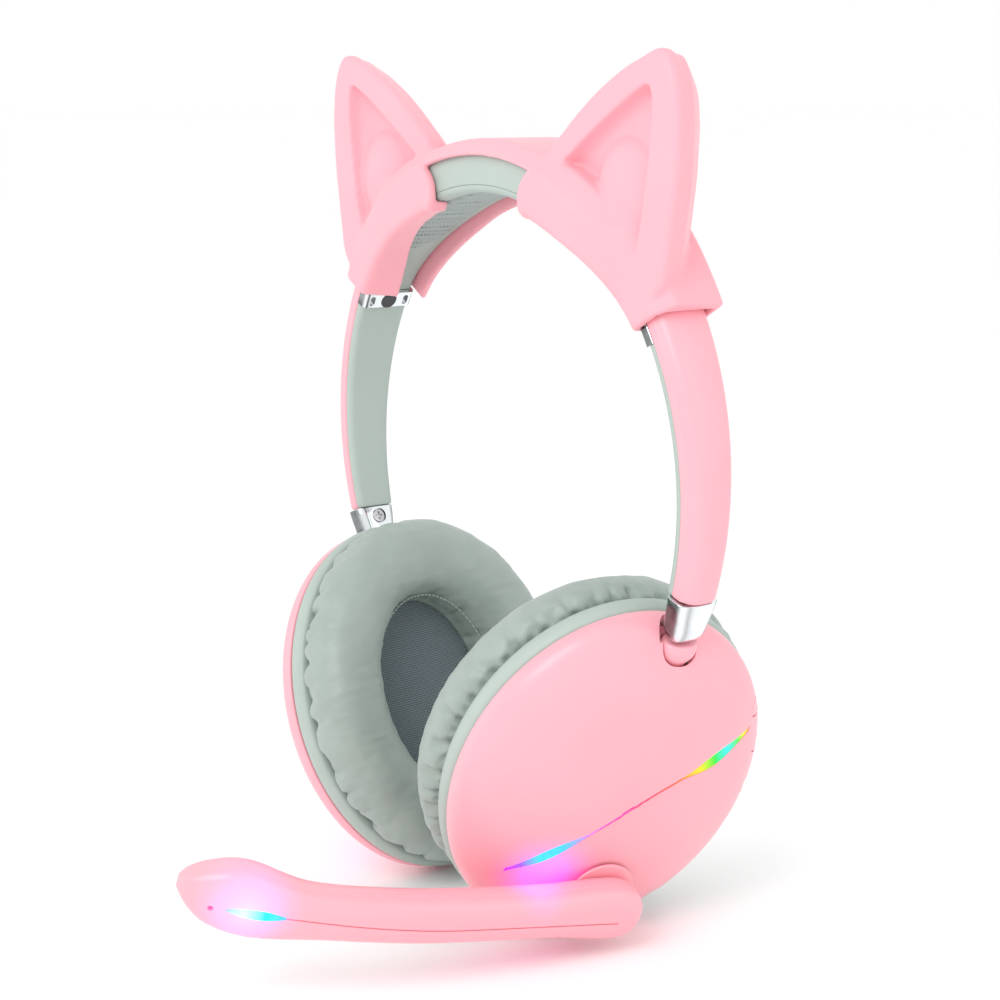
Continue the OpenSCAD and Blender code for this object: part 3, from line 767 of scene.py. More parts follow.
def band_inner(a):
    return BAND_IN + 4.0 * smooth((abs(a) - 20) / 42)


def crown(ring, half, amount):
    """Bows the sides of a section out a little."""
    middle, reach = ring[:, 1].mean(), np.ptp(ring[:, 1]) / 2
    share = np.clip(1 - ((ring[:, 1] - middle) / reach) ** 2, 0, 1)
    ring[:, 0] += np.sign(ring[:, 0]) * amount * share * (abs(ring[:, 0]) > half * 0.8)
    return ring


def band_section(a):
    half = band_half(a) - 0.3
    return crown(rounded(half, band_inner(a) + 2, BAND_R, 0.3, 3.2), half, 0.3)


def liner_section(a):
    return rounded(band_half(a) - 0.35, band_inner(a), band_inner(a) + 1.97, 1.7, 0.15)


def pad_section(a):
    """The insert's section, with ribs that bow from front to back."""
    reach = 8.4
    over = max(abs(a) * BAND_IN * math.pi / 180 - (INSERT_TIP * BAND_IN * math.pi / 180 - reach), 0)
    half = max(math.sqrt(max(reach**2 - over**2, 0)), 0.15)
    y = np.linspace(-half, half, 45)
    edge = np.clip((half - abs(y)) / 0.7, 0, 1)
    rib = abs(np.cos(math.pi * (a + 1.5 * (y / reach) ** 2) / 4)) ** 0.7
    low = band_inner(a) + 0.6 - 0.75 * np.sqrt(1 - (1 - edge) ** 2)
    low -= 0.6 * rib * smooth((half - abs(y)) / 1.6)
    back = band_inner(a) + 1
    return np.concatenate([np.stack([y, low], 1), [[half, back], [-half, back]]])


for name, section, tip, node in (
    ("headband_body", band_section, BAND_TIP, "headband_shell"),
    ("headband_lining", liner_section, LINER_TIP, "headband_liner"),
):
    body = loft(name, sweep(section, np.linspace(-tip, tip, 121), BAND))
    show(body, "headband", "grey_plastic", M["grey"], node)
insert_angles = INSERT_TIP * np.sin(np.linspace(-1, 1, 261) * math.pi / 2)
pad = loft("headband_pad", sweep(pad_section, insert_angles, BAND), sharp=60)
show(pad, "headband", "pad_mesh", M["pad"], "ribbed_pad")

EAR = [
    (26.5, 11.4), (32.4, 17), (38, 21.5), (45.8, 26.8), (54.5, 31.5), (61, 34), (64.6, 35.4), (67, 35.9),
    (69.3, 35.2), (71, 33), (72.6, 29.4), (73.6, 25), (74.2, 18), (74, 12), (73.4, 4), (72.3, -3),
    (70.8, -12), (68.5, -21), (60, -26), (48, -14), (24, 2),
]
EAR_HOLLOW = [
    (31.5, 7), (36, 11.5), (45, 17.6), (55, 23.6), (61.5, 27), (64.2, 27.4), (65.4, 24), (65.2, 16), (64, 8),
    (61, -8), (56, -14), (40, 0),
]
EAR_FRONT = -10.2
EAR_BACK = 9.0
EAR_EDGE = 4.3
BACK_SLOPE = 1.12
EAR_BEND = 1.6
DISH_DEPTH = 4.8
TONGUE_CENTRE = (52.5, EAR_FRONT + 5.4, 2.0)
TONGUE_SIZE = (11.5, 4.6, 13.5)


def round_corner(p, q):
    """Distance to a corner whose two sides are at distances p and q, for rounding it."""
    return np.hypot(np.maximum(p, 0), np.maximum(q, 0)) + np.minimum(np.maximum(p, q), 0)


def ear_field(x, y, z):
    """Distance to one ear: a dished front with a rounded rim, a raised tongue and a sloping back."""
    edge = outline_distance(curve_through(EAR, 84, True), x[:, 0, :], z[:, 0, :])[:, None, :]
    dish = outline_distance(curve_through(EAR_HOLLOW, 60, True), x[:, 0, :], z[:, 0, :])[:, None, :]
    body = round_corner(edge + EAR_BEND, EAR_FRONT - y + EAR_BEND) - EAR_BEND
    depth = -edge
    ledge = 2.0 * smooth((depth - 1.0) / 0.5)
    back = (y - (EAR_FRONT + EAR_EDGE + ledge + BACK_SLOPE * (depth - 0.5))) / 1.5
    body = blend_max(body, back, 1.0)
    body = blend_max(body, y - EAR_BACK, 4)
    floor = EAR_FRONT + DISH_DEPTH * (1 - np.exp(np.minimum(dish, 0) / 1.2))
    body = blend_max(body, -np.maximum(dish, y - floor), 0.35)
    reach = sum(((p - centre) / size) ** 2 for p, centre, size in zip((x, y, z), TONGUE_CENTRE, TONGUE_SIZE))
    tongue = (np.sqrt(reach) - 1) * 5.0
    return blend_min(body, tongue, 0.2)


SLEEVE_HALF = 14.5
SLEEVE_TOP = 81.2
BEVEL_R = 77.4
BEVEL_IN = 4.3
WINDOW_END = 15.6
WINDOW_TOP = 76.8


def cover_field(x, y, z):
    """Distance to the soft cover: a sleeve round the headband with a front window and two ears."""
    x = abs(x)
    r = np.hypot(x, z - BAND_Z)
    a = np.degrees(np.arctan2(x, z - BAND_Z))
    t = smooth((a - 28) / 32)
    half = SLEEVE_HALF - 3.9 * t
    behind = smooth((y + half) / (2 * half))
    top = SLEEVE_TOP + 1.6 * smooth((a - 14) / 14) * (1 - 0.8 * behind) + 1.0 * t
    foot = (band_inner(a) - 2.0) * (1 - behind) + (64.2 + 1.5 * t) * behind
    middle, reach, bend = (top + foot) / 2, (top - foot) / 2, 2.2
    sleeve = round_corner(abs(y) - half + bend, abs(r - middle) - reach + bend) - bend
    edge = BEVEL_R + 0.8 * t
    rise = top - edge
    bevel = ((-half - y) * rise + (r - edge) * BEVEL_IN) / np.hypot(rise, BEVEL_IN)
    sleeve = blend_max(sleeve, bevel, 0.5)
    window = (a - (WINDOW_END + 0.05 * np.clip(r - 71, -6, 6) ** 2)) * math.pi / 180 * r
    ridge = np.exp(-(((window - 1.4) / 1.2) ** 2)) * smooth((-y - 4) / 4) * smooth((79.5 - r) / 3)
    sleeve = blend_max(sleeve, (a - COVER_END) * math.pi / 180 * r, 1.0) - 0.45 * ridge
    whole = blend_min(sleeve, ear_field(x, y, z), 1.0)
    whole = blend_max(whole, -np.maximum(np.maximum(window, y + 6), r - WINDOW_TOP), 1.2)
    inside = np.maximum(abs(y) - half + COVER_WALL, np.maximum(foot + 2 - r, r - BAND_R - 0.15))
    inside = np.maximum(inside, bevel + COVER_WALL)
    lip = 6.2 + 5.5 * smooth((a - 18) / 41)
    slot = np.maximum(np.maximum(lip - half - y, y - half + 2.2), r - foot - 3)
    return blend_max(whole, -np.minimum(inside, slot), 0.6)


COVER_LOW, COVER_HIGH = (-77.3, -17.2, -38.0), (77.3, 17.2, 38.6)
points, faces = surface_net(cover_field, COVER_LOW, COVER_HIGH, 0.65)
cover = to_object("cat_ear_sleeve", points, faces, sharp=0)
outward(cover)
relax(cover, 0.5, 3)
show(cover, "headband", "pink_silicone", M["silicone"], "cat_ear_cover")


# ---------- arms, collars and chrome ends ----------

COLLAR_FROM, COLLAR_TO = 59.3, 62.72
SCREW_AT = 61.13
ARM_START = 56.8
END_ROUND = 0.7
ARM_SPLIT = 6.0
STEM_SCREW_Z = -3.4


def arm_half(a):
    z = ARM_Z + ARM_R * math.cos(math.radians(a))
    return float(np.interp(z, [-103.25, -26.0], [5.7, 8.3]))


def end_round(ring, a):
    """Draws a section in over the last part of the arm."""
    over = max((a - ARM_TO) / END_ROUND + 1, 0)
    middle = ring.mean(0)
    return middle + (ring - middle) * (1 - 0.07 * over**2)


def arm_section(a):
    half = arm_half(a)
    ring = rounded(half, ARM_R - ARM_SPLIT, ARM_R, 0.4, 3.4)
    ring[:, 1] -= 0.9 * (ring[:, 0] / half) ** 2 * (ring[:, 1] > ARM_R - 3)
    return end_round(ring, a)


def arm_liner_section(a):
    return end_round(rounded(arm_half(a) - 0.15, ARM_R - ARM_THICK, ARM_R - ARM_SPLIT - 0.03, 1.7, 0.3), a)


def collar_section(a):
    return rounded(arm_half(a) + 0.1, ARM_R - ARM_THICK - 1.0, ARM_R - ARM_SPLIT - 0.05, 1.6, 0.4)


def arm_point(a, y, r):
    q = math.radians(a)
    return (ARM_X + r * math.sin(q), y, ARM_Z + r * math.cos(q))


NECK = (
    (44.8, 5.0, 3.0, 4.0), (44.7, 5.0, 3.6, 4.5), (44.2, 5.0, 3.9, 4.8), (42.6, 5.0, 4.0, 4.8),
    (41.2, 4.8, 3.9, 4.6), (40.2, 4.6, 3.6, 4.2), (39.2, 4.4, 3.0, 3.8), (37.6, 4.4, 2.6, 3.4),
    (35.8, 4.4, 2.2, 2.8), (34.4, 4.4, 1.6, 2.0), (33.6, 4.4, 0.8, 0.8),
)


def neck_rings(grow, top=None):
    """Rings of the neck in the cup's frame, swollen by grow, and drawn up to top if asked."""
    rings = []
    rows = [(top, *NECK[2][1:]), *NECK[2:]] if top else NECK
    for z, x, half_x, half_y in rows:
        p = super_ring(half_x + grow, half_y + grow, 2.2, 48)
        down = grow if z < 36 else 0
        rings.append(np.stack([x + p[:, 0], NECK_Y + p[:, 1], np.full(len(p), z - down)], 1))
    return np.array(rings)


def tilted(rings, degrees):
    """Turns points about the tilt pivot, as the neck moves in its socket."""
    q = math.radians(degrees)
    away = rings - np.array(PIVOT)
    turned = away.copy()
    turned[..., 0] = away[..., 0] * math.cos(q) + away[..., 2] * math.sin(q)
    turned[..., 2] = away[..., 2] * math.cos(q) - away[..., 0] * math.sin(q)
    return turned + np.array(PIVOT)


def arm(tag):
    flip = MIRROR[tag]
    tail = ARM_TO - np.array([END_ROUND, 0.45, 0.25, 0.1, 0.0])
    for part, section, start, count, slot, finish in (
        ("arm_shell_", arm_section, ARM_START, 70, "pink_plastic", "pink"),
        ("arm_liner_", arm_liner_section, COLLAR_TO + 0.04, 60, "grey_plastic", "grey"),
    ):
        angles = np.concatenate([np.linspace(start, ARM_TO - 1, count), tail])
        obj = loft(part + tag + "_skin", sweep(section, angles, ARM), flip)
        show(obj, "headband", slot, M[finish], part + tag)


def collar(tag):
    """Chrome collar with a hole for its screw and a slot on each side of it."""
    flip = MIRROR[tag]
    rings = sweep(collar_section, np.linspace(COLLAR_FROM, COLLAR_TO, 9), ARM)
    obj = loft("collar_" + tag + "_skin", rings, flip)
    low = ARM_R - 11
    cutters = [bar("hole", arm_point(SCREW_AT, 0, low), arm_point(SCREW_AT, 0, ARM_R - 7.2), 2.55, flip)]
    out = Vector(arm_point(SCREW_AT, 0, 1)) - Vector(arm_point(SCREW_AT, 0, 0))
    along = Vector((out.z, 0, -out.x))
    for y in (-5.6, 5.6):
        rings = []
        for depth in (low, ARM_R - 8.4):
            middle = Vector(arm_point(SCREW_AT, y, depth))
            rings.append([middle + Vector((0, p, 0)) + along * q for p, q in super_ring(0.85, 1.5, 3, 20)])
        cutters.append(loft("slot", rings, flip))
    cut(obj, cutters)
    show(obj, "headband", "chrome", M["chrome"], "collar_" + tag)


def chrome_end(tag):
    """Ferrule under an arm, which narrows and rounds off towards the neck."""
    stem = STEMS[tag]
    rings = []
    for z, inset in (
        (-0.35, 0.3), (-0.45, 0.1), (-0.7, 0.0), (-3, 0.0), (-6, 0.02), (-8, 0.06), (-9.6, 0.18),
        (-10.8, 0.45), (-11.7, 0.9), (-12.3, 1.5), (-12.6, 2.3),
    ):
        narrow = float(smooth(-z / 8))
        p = super_ring(3.8 - inset, 6.5 - narrow - inset, 3.4, 64)
        lift = 0.2 * (3.8 - p[:, 0]) * smooth((-z - 7) / 5)
        rings.append(np.stack([p[:, 0], p[:, 1], z + lift], 1))
    obj = loft("chrome_end_" + tag, rings, stem, sharp=50)
    cut(obj, [bar("hole", (-6, 0, STEM_SCREW_Z), (-2.9, 0, STEM_SCREW_Z), 2.3, stem)], 50)
    show(obj, "slider_" + tag, "chrome", M["chrome"], "ferrule_" + tag)


def cross_screw(tag):
    stem = STEMS[tag]
    obj = bar("cross_screw_" + tag, (-3.65, 0, STEM_SCREW_Z), (-2.95, 0, STEM_SCREW_Z), 2.0, stem, 48, 0.25)
    cutters = []
    corners = ((1, 1), (-1, 1), (-1, -1), (1, -1))
    for wide, high in ((0.42, 1.45), (1.45, 0.42)):
        rings = [
            [(x, wide * share * i, STEM_SCREW_Z + high * share * j) for i, j in corners]
            for x, share in ((-5, 1.0), (-3.1, 0.75))
        ]
        cutters.append(loft("slot", rings, stem))
    cut(obj, cutters, 30)
    show(obj, "slider_" + tag, "screw_steel", M["screw"], "ferrule_screw_" + tag)


for tag in SIDES:
    arm(tag)
    collar(tag)
    chrome_end(tag)
    cross_screw(tag)
    neck = loft("neck_" + tag + "_skin", neck_rings(0), CUPS[tag], sharp=60)
    show(neck, "stem_" + tag, "pink_plastic", M["pink"], "neck_" + tag)


# ---------- cups ----------


def dome_x(y, z, inset=0.0):
    """Height of the cup's face, which steps down a little below the light."""
    share = (y / (CUP_Y - inset)) ** 2 + (z / (CUP_Z - inset)) ** 2
    height = (DOME - inset) * np.sqrt(np.maximum(1 - share, 0))
    if inset:
        return height
    t = (y - LIGHT_Y[0]) / (LIGHT_Y[1] - LIGHT_Y[0])
    below = light_z(t) - z
    fade = smooth((t + 0.12) / 0.2) * smooth((1.1 - t) / 0.2) * smooth((1 - share) / 0.3)
    return height - 0.85 * smooth((below + 0.9) / 1.8) * np.exp(-np.maximum(below, 0) / 14) * fade


def dome_rings(inset, count, around):
    """Rings of the cup's face from its rim to its top."""
    turn = full_turn(around)
    rings = []
    for rise in np.linspace(0, 0.985, count) * math.pi / 2:
        y = (CUP_Y - inset) * math.cos(rise) * np.cos(turn)
        z = (CUP_Z - inset) * math.cos(rise) * np.sin(turn)
        rings.append(np.stack([dome_x(y, z, inset), y, z], 1))
    return rings


def rim_point(angle, out):
    """Point on the cup's rim at an angle in degrees, and the one that is out past it."""
    q = math.radians(angle)
    y, z = CUP_Y * math.cos(q), CUP_Z * math.sin(q)
    normal = Vector((0, y / CUP_Y**2, z / CUP_Z**2)).normalized()
    return Vector((2.9, y, z)) + normal * out


def light_cutter(low, high, grow):
    """Strip that follows the light, from low(y, z) to high, which may be a function too."""
    rings = []
    for t in np.linspace(0, 1, 97):
        y, z, half = light_y(t), light_z(t), light_half(t) + grow
        top = [high(y, z + s * half) if callable(high) else high for s in (1, 0, -1)]
        base = low(y, z)
        outline = ((base, -1), (base, 1), (top[0], 1), (top[1], 0), (top[2], -1))
        rings.append([(x, y, z + s * half) for x, s in outline])
    return rings


def around_cup(section, count):
    """Rings of a closed section in [out of the cup, past the rim] that runs round the cup."""
    rings = []
    for q in full_turn(count):
        rings.append([(x, (CUP_Y + out) * math.cos(q), (CUP_Z + out) * math.sin(q)) for x, out in section])
    return rings


def cup_shell(tag):
    """Domed shell with the light's slot, the neck's notch and socket, and the holes of the left cup."""
    count, around = ((34, 160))
    place = CUPS[tag]
    outer, inner = dome_rings(0, count, around), dome_rings(WALL, max(count // 2, 8), around)
    skirt = []
    for x, inset in ((-1.9, 0.8), (-2.0, 0.4), (-1.85, 0.1), (-1.5, 0.0), (-0.7, 0.0)):
        ring = outer[0].copy()
        ring[:, 0] = x
        ring[:, 1] *= 1 - inset / CUP_Y
        ring[:, 2] *= 1 - inset / CUP_Z
        skirt.append(ring)
    low = inner[0].copy()
    low[:, 0] = -1.9
    shell = loft("cup_shell_" + tag + "_skin", [*inner[::-1], low, *skirt, *outer], place, 45)
    front, back = -2.8, 15.6
    shelf = [
        [(-1.95, y, z) for y in (back, front)]
        + [(float(dome_x(y, z, 0.9)), y, z) for y in np.linspace(front, back, 12)]
        for z in (43.13, 45.37)
    ]
    shelf = loft("shelf", shelf, place)
    box = np.array([(max(NECK_X + x, -0.1), NECK_Y + y) for x, y in super_ring(6.1, 6.1, 2, 48)])
    notch = [np.column_stack([box, np.full(len(box), z)]) for z in (44.61, 70)]
    cutters = [
        loft("slot", light_cutter(lambda y, z: dome_x(y, z) - 2.8, 20, 0.08), place),
        loft("notch", notch, place),
        *(loft("socket", tilted(neck_rings(0.28, 60), turn), place) for turn in (0.3, 6, 12)),
    ]
    if tag == "left":
        cutters.append(bar("hub", (0, *HUB[1:]), (20, *HUB[1:]), HUB_HOLE_R, place, 48))
        for angle in BUTTONS.values():
            cutters.append(bar("hole", rim_point(angle, -10), rim_point(angle, 10), BUTTON_HOLE_R, place))
        cutters.append(bar("hole", rim_point(JACK_ANGLE, -10), rim_point(JACK_ANGLE, 10), JACK_HOLE_R, place))
        a, b = rim_point(USB_ANGLE, -10), rim_point(USB_ANGLE, 10)
        across = (b - a).cross(Vector((1, 0, 0))).normalized()
        ring = super_ring(4.75, 1.95, 6, 32)
        rings = [[end + across * p + Vector((1, 0, 0)) * q for p, q in ring] for end in (a, b)]
        cutters.append(loft("hole", rings, place))
    cut(shell, cutters, 45, [shelf])
    show(shell, "cup_" + tag, "pink_plastic", M["shell_" + tag], "cup_shell_" + tag)


def cup_light(tag):
    rings = light_cutter(lambda y, z: dome_x(y, z) - 2.4, lambda y, z: dome_x(y, z) - 0.12, -0.02)
    strip = loft("cup_light_" + tag, rings, CUPS[tag], 30)
    show(strip, "cup_" + tag, "light_guide", M["strip_" + tag], "light_guide_" + tag)


RING_SECTION = [
    (-2.06, -1.3), (-2.04, -2.6), (-2.1, -3.9), (-5, -4.0), (-7.9, -3.9), (-8.0, -2.6), (-7.95, -1.1),
    (-7.5, -0.1), (-6.3, 0.45), (-4.9, 0.6), (-3.4, 0.25), (-2.4, -0.5),
]
CUSHION_SECTION = [
    (0, 8), (0.28, 7.95), (0.55, 8), (0.87, 8.3), (0.97, 10.6), (1, 13.5), (0.99, 17), (0.93, 20.4),
    (0.8, 23.1), (0.6, 24.2), (0.36, 23.6), (0.16, 21.6), (0.04, 18.4), (0, 14), (0, 11),
]
CUSHION_HALF = (43.8, 47.9)
HOLE_HALF = (21.8, 27.2)
MOST_SWELL = 1.5
PLEATS = 40
STITCHES = 96


def cushion_grid(around, across):
    """Points of the plain cushion: [round the cup, round its section, xyz] in the cup's frame."""
    section = curve_through(CUSHION_SECTION, across, True)
    turn = full_turn(around)[:, None]
    share, depth = section.T
    y = (HOLE_HALF[0] + (CUSHION_HALF[0] - HOLE_HALF[0]) * share) * np.cos(turn)
    z = (HOLE_HALF[1] + (CUSHION_HALF[1] - HOLE_HALF[1]) * share) * np.sin(turn)
    return np.stack([-depth + 0 * turn, y, z], 2), section


def inflate(tag):
    """Cloth simulation of the cushion's skin: it fills with air while its base stays on the ring."""
    around, across, scale = 88, 26, 0.02
    start, section = cushion_grid(around, across)
    points, faces = loft_parts(start, caps=False, wrap=True)
    mesh = bpy.data.meshes.new("cushion_skin")
    mesh.from_pydata((np.array(points) * scale).tolist(), [], faces)
    obj = bpy.data.objects.new("cushion_skin", mesh)
    bpy.context.scene.collection.objects.link(obj)
    outward(obj)
    pins = obj.vertex_groups.new(name="base")
    pins.add([i for i in range(around * across) if section[i % across, 1] < 9.2], 1.0, "REPLACE")
    cloth = obj.modifiers.new("cloth", "CLOTH")
    settings = cloth.settings
    settings.quality = 6
    settings.mass = 0.25
    settings.use_pressure = True
    settings.uniform_pressure_force = 4.0
    settings.tension_stiffness = settings.compression_stiffness = 18
    settings.bending_stiffness = 1.5
    settings.shrink_min = -0.035 if tag == "left" else -0.045
    settings.effector_weights.gravity = 0
    settings.vertex_group_mass = "base"
    cloth.collision_settings.use_collision = False
    scene = bpy.context.scene
    for step in range(1, 21):
        scene.frame_set(step)
    graph = bpy.context.evaluated_depsgraph_get()
    moved = np.array([v.co for v in obj.evaluated_get(graph).data.vertices]) / scale
    scene.frame_set(1)
    bpy.data.objects.remove(obj)
    move = moved.reshape(start.shape) - start
    length = np.linalg.norm(move, axis=2, keepdims=True)
    return move * np.minimum(1, MOST_SWELL / np.maximum(length, 1e-6))


def cushion(tag):
    """Padded ear cushion: the inflated skin, with pleats, a gathered seam and soft creases."""
    around, across = ((480, 84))
    grid, section = cushion_grid(around, across)
    move = curve_through(inflate(tag), around, True)
    grid = grid + curve_through(move.transpose(1, 0, 2), across, True).transpose(1, 0, 2)
    random = np.random.default_rng(5 if tag == "left" else 9)
    depth = section[:, 1][None, :]
    outer = smooth((section[:, 0][None, :] - 0.55) / 0.3)
    turn = np.linspace(0, 1, around, endpoint=False)[:, None]
    wander = sum(
        random.uniform(0.1, 0.3) * np.sin(2 * math.pi * (k * turn + random.uniform()))
        for k in (2, 3, 5, 7, 11)
    )
    tilt = random.uniform(-0.3, 0.3, PLEATS)
    size = random.uniform(0.35, 1.0, PLEATS)
    reach = random.uniform(3.0, 6.5, PLEATS)
    phase = PLEATS * turn + wander + 0 * depth
    which = np.round(phase).astype(int) % PLEATS
    phase = phase + tilt[which] * (depth - 10) / 9
    away = phase - np.round(phase)
    fade = np.exp(-((np.maximum(depth - 10.5, 0) / reach[which]) ** 2))
    fold = np.exp(-((away / 0.13) ** 2)) * size[which] * fade
    puff = np.cos(math.pi * away) ** 2
    push = outer * (-1.35 * fold + 0.35 * (1 - puff) * np.exp(-((depth - 12) / 5) ** 2))
    gather = outer * np.exp(-(((depth - 9.0) / 1.0) ** 2)) * (0.6 * np.sin(2 * math.pi * 2 * phase) - 0.7)
    normal = np.cross(np.roll(grid, -1, 1) - np.roll(grid, 1, 1), np.roll(grid, -1, 0) - np.roll(grid, 1, 0))
    normal /= np.maximum(np.linalg.norm(normal, axis=2, keepdims=True), 1e-9)
    centre = np.array([-15.0, 0, 0])
    middle = centre + (grid - centre) * np.array([0, 0.74, 0.74])
    facing = np.sign(((grid - middle) * normal).sum(2, keepdims=True).mean())
    flat = grid.reshape(-1, 3)
    soft = 0.16 * noise(flat, 14, 3) + 0.1 * noise(flat * np.array([1, 1, 1.8]), 5, 4)
    soft = soft.reshape(around, across) * smooth((depth - 9) / 4)
    grid = grid + normal * facing * (push + gather + soft)[:, :, None]
    obj = loft("ear_cushion_" + tag + "_skin", grid, CUPS[tag], 0, caps=False, wrap=True)
    show(obj, "cup_" + tag, "grey_leather", M["leather"], "ear_cushion_" + tag)


def cushion_seam(tag):
    """Stitches of the seam inside the opening."""
    half_y, half_z = HOLE_HALF[0] + 0.02, HOLE_HALF[1] + 0.02
    stitches = []
    for k in range(STITCHES):
        turns = [2 * math.pi * (k + share) / STITCHES for share in (0.15, 0.85)]
        ends = [(-15.4, half_y * math.cos(q), half_z * math.sin(q)) for q in turns]
        stitches.append(bar("stitch", *ends, 0.28, CUPS[tag], 8))
    obj = join("cushion_stitches_" + tag, stitches)
    show(obj, "cup_" + tag, "grey_leather", M["thread"])


def cloth_disc(tag):
    """Woven cloth over the cushion's opening, with 4 mm all round under the cushion."""
    half_y, half_z = HOLE_HALF[0] + 4, HOLE_HALF[1] + 4
    around, rows, edge_x, crown_height = 72, 12, -7.95, 0.95
    turn = full_turn(around)
    points, faces = [(edge_x - crown_height, 0, 0)], []
    for k in range(1, rows + 1):
        share = k / rows
        x = edge_x - crown_height * (1 - share**2)
        points += [(x, half_y * share * math.cos(q), half_z * share * math.sin(q)) for q in turn]
    for i in range(around):
        j = (i + 1) % around
        faces.append((0, 1 + i, 1 + j))
        for k in range(rows - 1):
            a, b = 1 + around * k, 1 + around * (k + 1)
            faces.append((a + i, b + i, b + j, a + j))
    obj = to_object("cup_cloth_" + tag, points, faces, CUPS[tag], 0)
    show(obj, "cup_" + tag, "mesh_cloth", M["cloth"], "mesh_cloth_" + tag)


for tag in SIDES:
    cup_shell(tag)
    cup_light(tag)
    rings = around_cup(curve_through(RING_SECTION, 36, True), 144)
    ring = loft("mid_ring_" + tag + "_skin", rings, CUPS[tag], 50, caps=False, wrap=True)
    show(ring, "cup_" + tag, "grey_plastic", M["grey"], "mid_ring_" + tag)
    cushion(tag)
    cushion_seam(tag)
    cloth_disc(tag)


RIM_REACH = 46


def rim_depth(x):
    """How far the cup's face lies inside its rim at the height x, on the mean of its two half widths."""
    return -RIM_REACH * (1 - math.sqrt(1 - (max(x, 0) / DOME) ** 2))


def rim_rings(angle, outline, low, high):
    """Rings that run out to the cup's face, from depth low to each [share, rise] in high."""
    start = rim_point(angle, 0)
    normal = rim_point(angle, 1) - start
    across = normal.cross(Vector((1, 0, 0))).normalized()
    rings = [[start + Vector((p, 0, 0)) + across * q + normal * low for p, q in outline]]
    for share, rise in high:
        rings.append(
            [
                start + Vector((p * share, 0, 0)) + across * q * share
                + normal * (rim_depth(start.x + p * share) + rise)
                for p, q in outline
            ]
        )
    return rings


def buttons():
    """Caps that are level with the cup's face, with a dished top."""
    for name, angle in BUTTONS.items():
        high = ((1, -0.25), (0.95, -0.02), (0.84, 0.12), (0.5, -0.04), (0.2, -0.08))
        rings = rim_rings(angle, super_ring(BUTTON_R, BUTTON_R, 2, 40), -8, high)
        cap = loft(name + "_cap", rings, CUPS["left"])
        show(cap, name + "_button", "pink_plastic", M["pink"], name + "_button")


def port_pieces():
    """Socket linings that sit a little below the rim, so that the holes stay open."""
    high = ((1, -0.5), (0.85, -0.35))
    rings = rim_rings(JACK_ANGLE, super_ring(JACK_R, JACK_R, 2, 40), -15.6, high)
    lining = loft("audio_socket", rings, CUPS["left"])
    cut(lining, [bar("hole", rim_point(JACK_ANGLE, -14.2), rim_point(JACK_ANGLE, 2), 1.8, CUPS["left"])])
    show(lining, "cup_left", "dark_plastic", M["dark"], "audio_jack")
    parts = []
    for outline, low, rise in ((super_ring(1.7, 4.5, 5, 40), -9, -0.7), (super_ring(1.3, 4.1, 5, 40), -8, 3)):
        parts.append(loft("usb_socket", rim_rings(USB_ANGLE, outline, low, ((1, rise),)), CUPS["left"]))
    cut(parts[0], [parts[1]])
    show(parts[0], "cup_left", "steel", M["steel"], "usb_port")


port_pieces()
buttons()


# ---------- microphone boom ----------

BOOM_SECTIONS = [
    (-8.4, 2.6, -2.4, 2.8), (-7.6, 4.3, -4.8, 4.8), (-5, 5.2, -7.0, 7.0), (-1, 5.3, -8.0, 8.2),
    (4, 5.3, -7.9, 8.2), (11, 5.3, -7.1, 7.6), (17, 5.3, -6.7, 6.9), (28, 5.3, -6.8, 6.6),
    (40, 5.3, -6.8, 6.5), (52, 5.3, -6.9, 6.4), (64, 5.3, -7, 6.2), (76, 5.3, -7.4, 6),
    (84, 5.4, -8.3, 6.4), (90, 5.7, -9.1, 7.8), (95, 6, -9.4, 9.2), (99, 6, -9.2, 9.8),
    (103, 5.9, -8.4, 9.4), (107, 5.5, -6.9, 8), (110.5, 4.6, -4.2, 6.2), (113, 3.2, -1.4, 4.4),
    (114.4, 1.6, 0.4, 2.6),
]
LED_FROM, LED_TO = 87.5, 102.0


def boom_rings(side):
    """Rings of one half shell: side is 1 for the outer half and -1 for the inner one."""
    rings = []
    for s, half_x, low, high in curve_through(BOOM_SECTIONS, 110):
        middle, half = (low + high) / 2, (high - low) / 2
        a = np.radians(np.linspace(-90, 90, 27))
        bulge = np.maximum(half_x * abs(np.cos(a)) ** 0.66, 0.02) * side
        height = middle + half * np.sign(a) * abs(np.sin(a)) ** 0.76
        rings.append([on_boom(s, out, z) for out, z in zip(bulge, height)])
    return rings


def boom_strip(spans, low, high, half, centre):
    """Cutter or light that runs along the boom's outer face."""
    rings = []
    for s in spans:
        outline = ((low(s), -1), (low(s), 1), (high(s), 1), (high(s), -1))
        rings.append([on_boom(s, out, centre(s) + side * half(s)) for out, side in outline])
    return rings


def boom_face(s):
    rows = np.array(BOOM_SECTIONS)
    return float(np.interp(s, rows[:, 0], rows[:, 1]))


def led_half(s):
    t = (s - LED_FROM) / (LED_TO - LED_FROM)
    return 0.3 + 1.2 * math.sin(math.pi * min(max(t, 0), 1)) ** 0.8


def groove_z(s):
    return -0.9 * float(smooth((LED_TO - s) / 60)) + 0.2


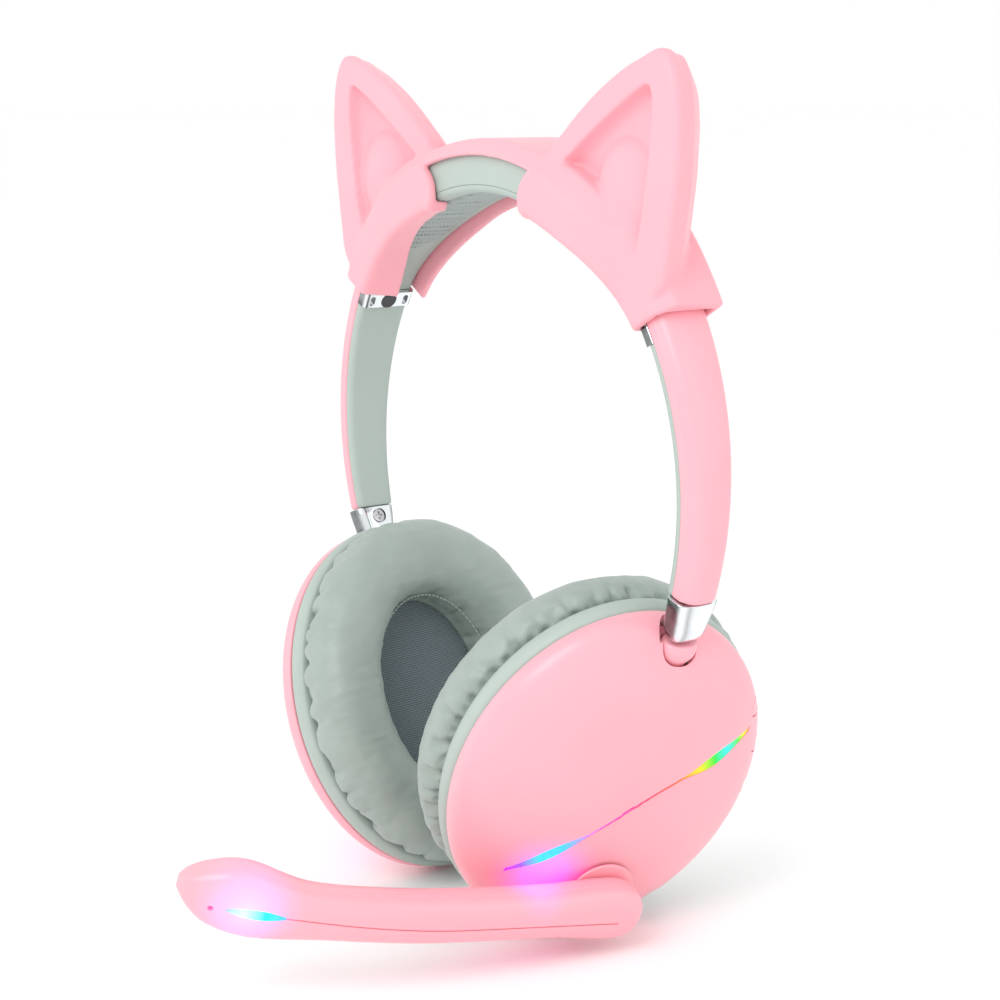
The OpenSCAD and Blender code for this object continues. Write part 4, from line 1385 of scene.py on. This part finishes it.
window = boom_strip(np.linspace(LED_FROM, LED_TO, 25), lambda s: 3, lambda s: 9, led_half, groove_z)
groove = boom_strip(
    np.linspace(-1, LED_FROM + 0.4, 50), lambda s: boom_face(s) - 0.45, lambda s: 8, lambda s: 0.2, groove_z
)
sound_hole = bar("hole", on_boom(105.4, 2.5, -0.4), on_boom(105.4, 9, -0.4), 0.75, BOOM, 24)
outer = loft("boom_outer_skin", boom_rings(1), BOOM, 50)
cut(outer, [loft("slot", window, BOOM), loft("slot", groove, BOOM), sound_hole], 50)
show(outer, "mic_boom", "pink_plastic", M["boom"], "boom_outer")
inner = loft("boom_inner_skin", boom_rings(-1), BOOM, 50)
cut(inner, [bar("hole", on_boom(104, -9, 0), on_boom(104, -2.5, 0), 0.8, BOOM, 24)], 50)
show(inner, "mic_boom", "pink_plastic", M["boom"], "boom_inner")
hub_collar = bar("boom_collar", (-5.7, 0, 0.6), (-4.9, 0, 0.6), 9.4, BOOM, 72, 0.3)
show(hub_collar, "mic_boom", "pink_plastic", M["boom"])
strip = boom_strip(
    np.linspace(LED_FROM + 0.1, LED_TO - 0.1, 25),
    lambda s: 3.1, lambda s: boom_face(s) - 0.12, lambda s: led_half(s) - 0.03, groove_z,
)
led = loft("boom_light", strip, BOOM, 40)
show(led, "mic_boom", "light_guide", M["strip_boom"], "boom_light_guide")


# ---------- CAD pieces that stay, with better finishes ----------

FINISH = {
    "spring_band": "steel", "link_cable": "dark", "collar_screws": "dark", "main_board": "board",
    "battery": "cell", "mic_hub": "pink", "mic_capsule": "dark",
}
for tag in SIDES:
    for part, finish in (
        ("slider_strip", "steel"), ("pivot_pin", "steel"), ("led_board", "board"), ("baffle", "dark"),
        ("driver_frame", "dark"), ("driver_magnet", "steel"), ("driver_cone", "cone"),
        ("cup_screws", "screw"),
    ):
        FINISH[part + "_" + tag] = finish
for name, finish in FINISH.items():
    for slot in frame["nodes"][name].material_slots:
        slot.material = M[finish]


# ---------- floor, lights and camera ----------

scene = bpy.context.scene
bpy.ops.mesh.primitive_plane_add(size=60, location=(0, 0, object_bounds()[0][2] - 0.0004))
floor = bpy.context.object
floor.name = "floor"
paint = Nodes("floor_paint", (1.0, 1.0, 1.0), 0.9)
floor.data.materials.append(paint.material)

world = bpy.data.worlds.new("studio")
scene.world = world
world.use_nodes = True
put(world.node_tree.nodes["Background"], Color=(1, 1, 1, 1), Strength=1.0)


CENTRE = (0, 0, -0.09)


def lamp(name, place, size, power):
    """Square area lamp, aimed at the middle of the headset."""
    light = bpy.data.lights.new(name, "AREA")
    light.size = size
    light.energy = power
    obj = bpy.data.objects.new(name, light)
    obj.location = place
    obj.rotation_euler = (Vector(CENTRE) - Vector(place)).to_track_quat("-Z", "Y").to_euler()
    scene.collection.objects.link(obj)


lamp("key", (0.30, -0.62, 0.45), 0.45, 2.6)
lamp("side", (0.75, 0.25, 0.2), 0.5, 0.6)
lamp("front", (-0.55, -0.6, 0.05), 0.6, 0.6)

camera_data = bpy.data.cameras.new("camera")
camera_data.lens = 76.64
camera_data.sensor_width = 36
camera_data.clip_start = 0.01
camera = bpy.data.objects.new("camera", camera_data)
camera.location = (0.45124, -0.34267, 0.02524)
aim = Vector((-0.00732, 0, -0.08396)) - camera.location
camera.rotation_euler = aim.to_track_quat("-Z", "Y").to_euler()
scene.collection.objects.link(camera)
scene.camera = camera
scene.view_settings.view_transform = "Standard"
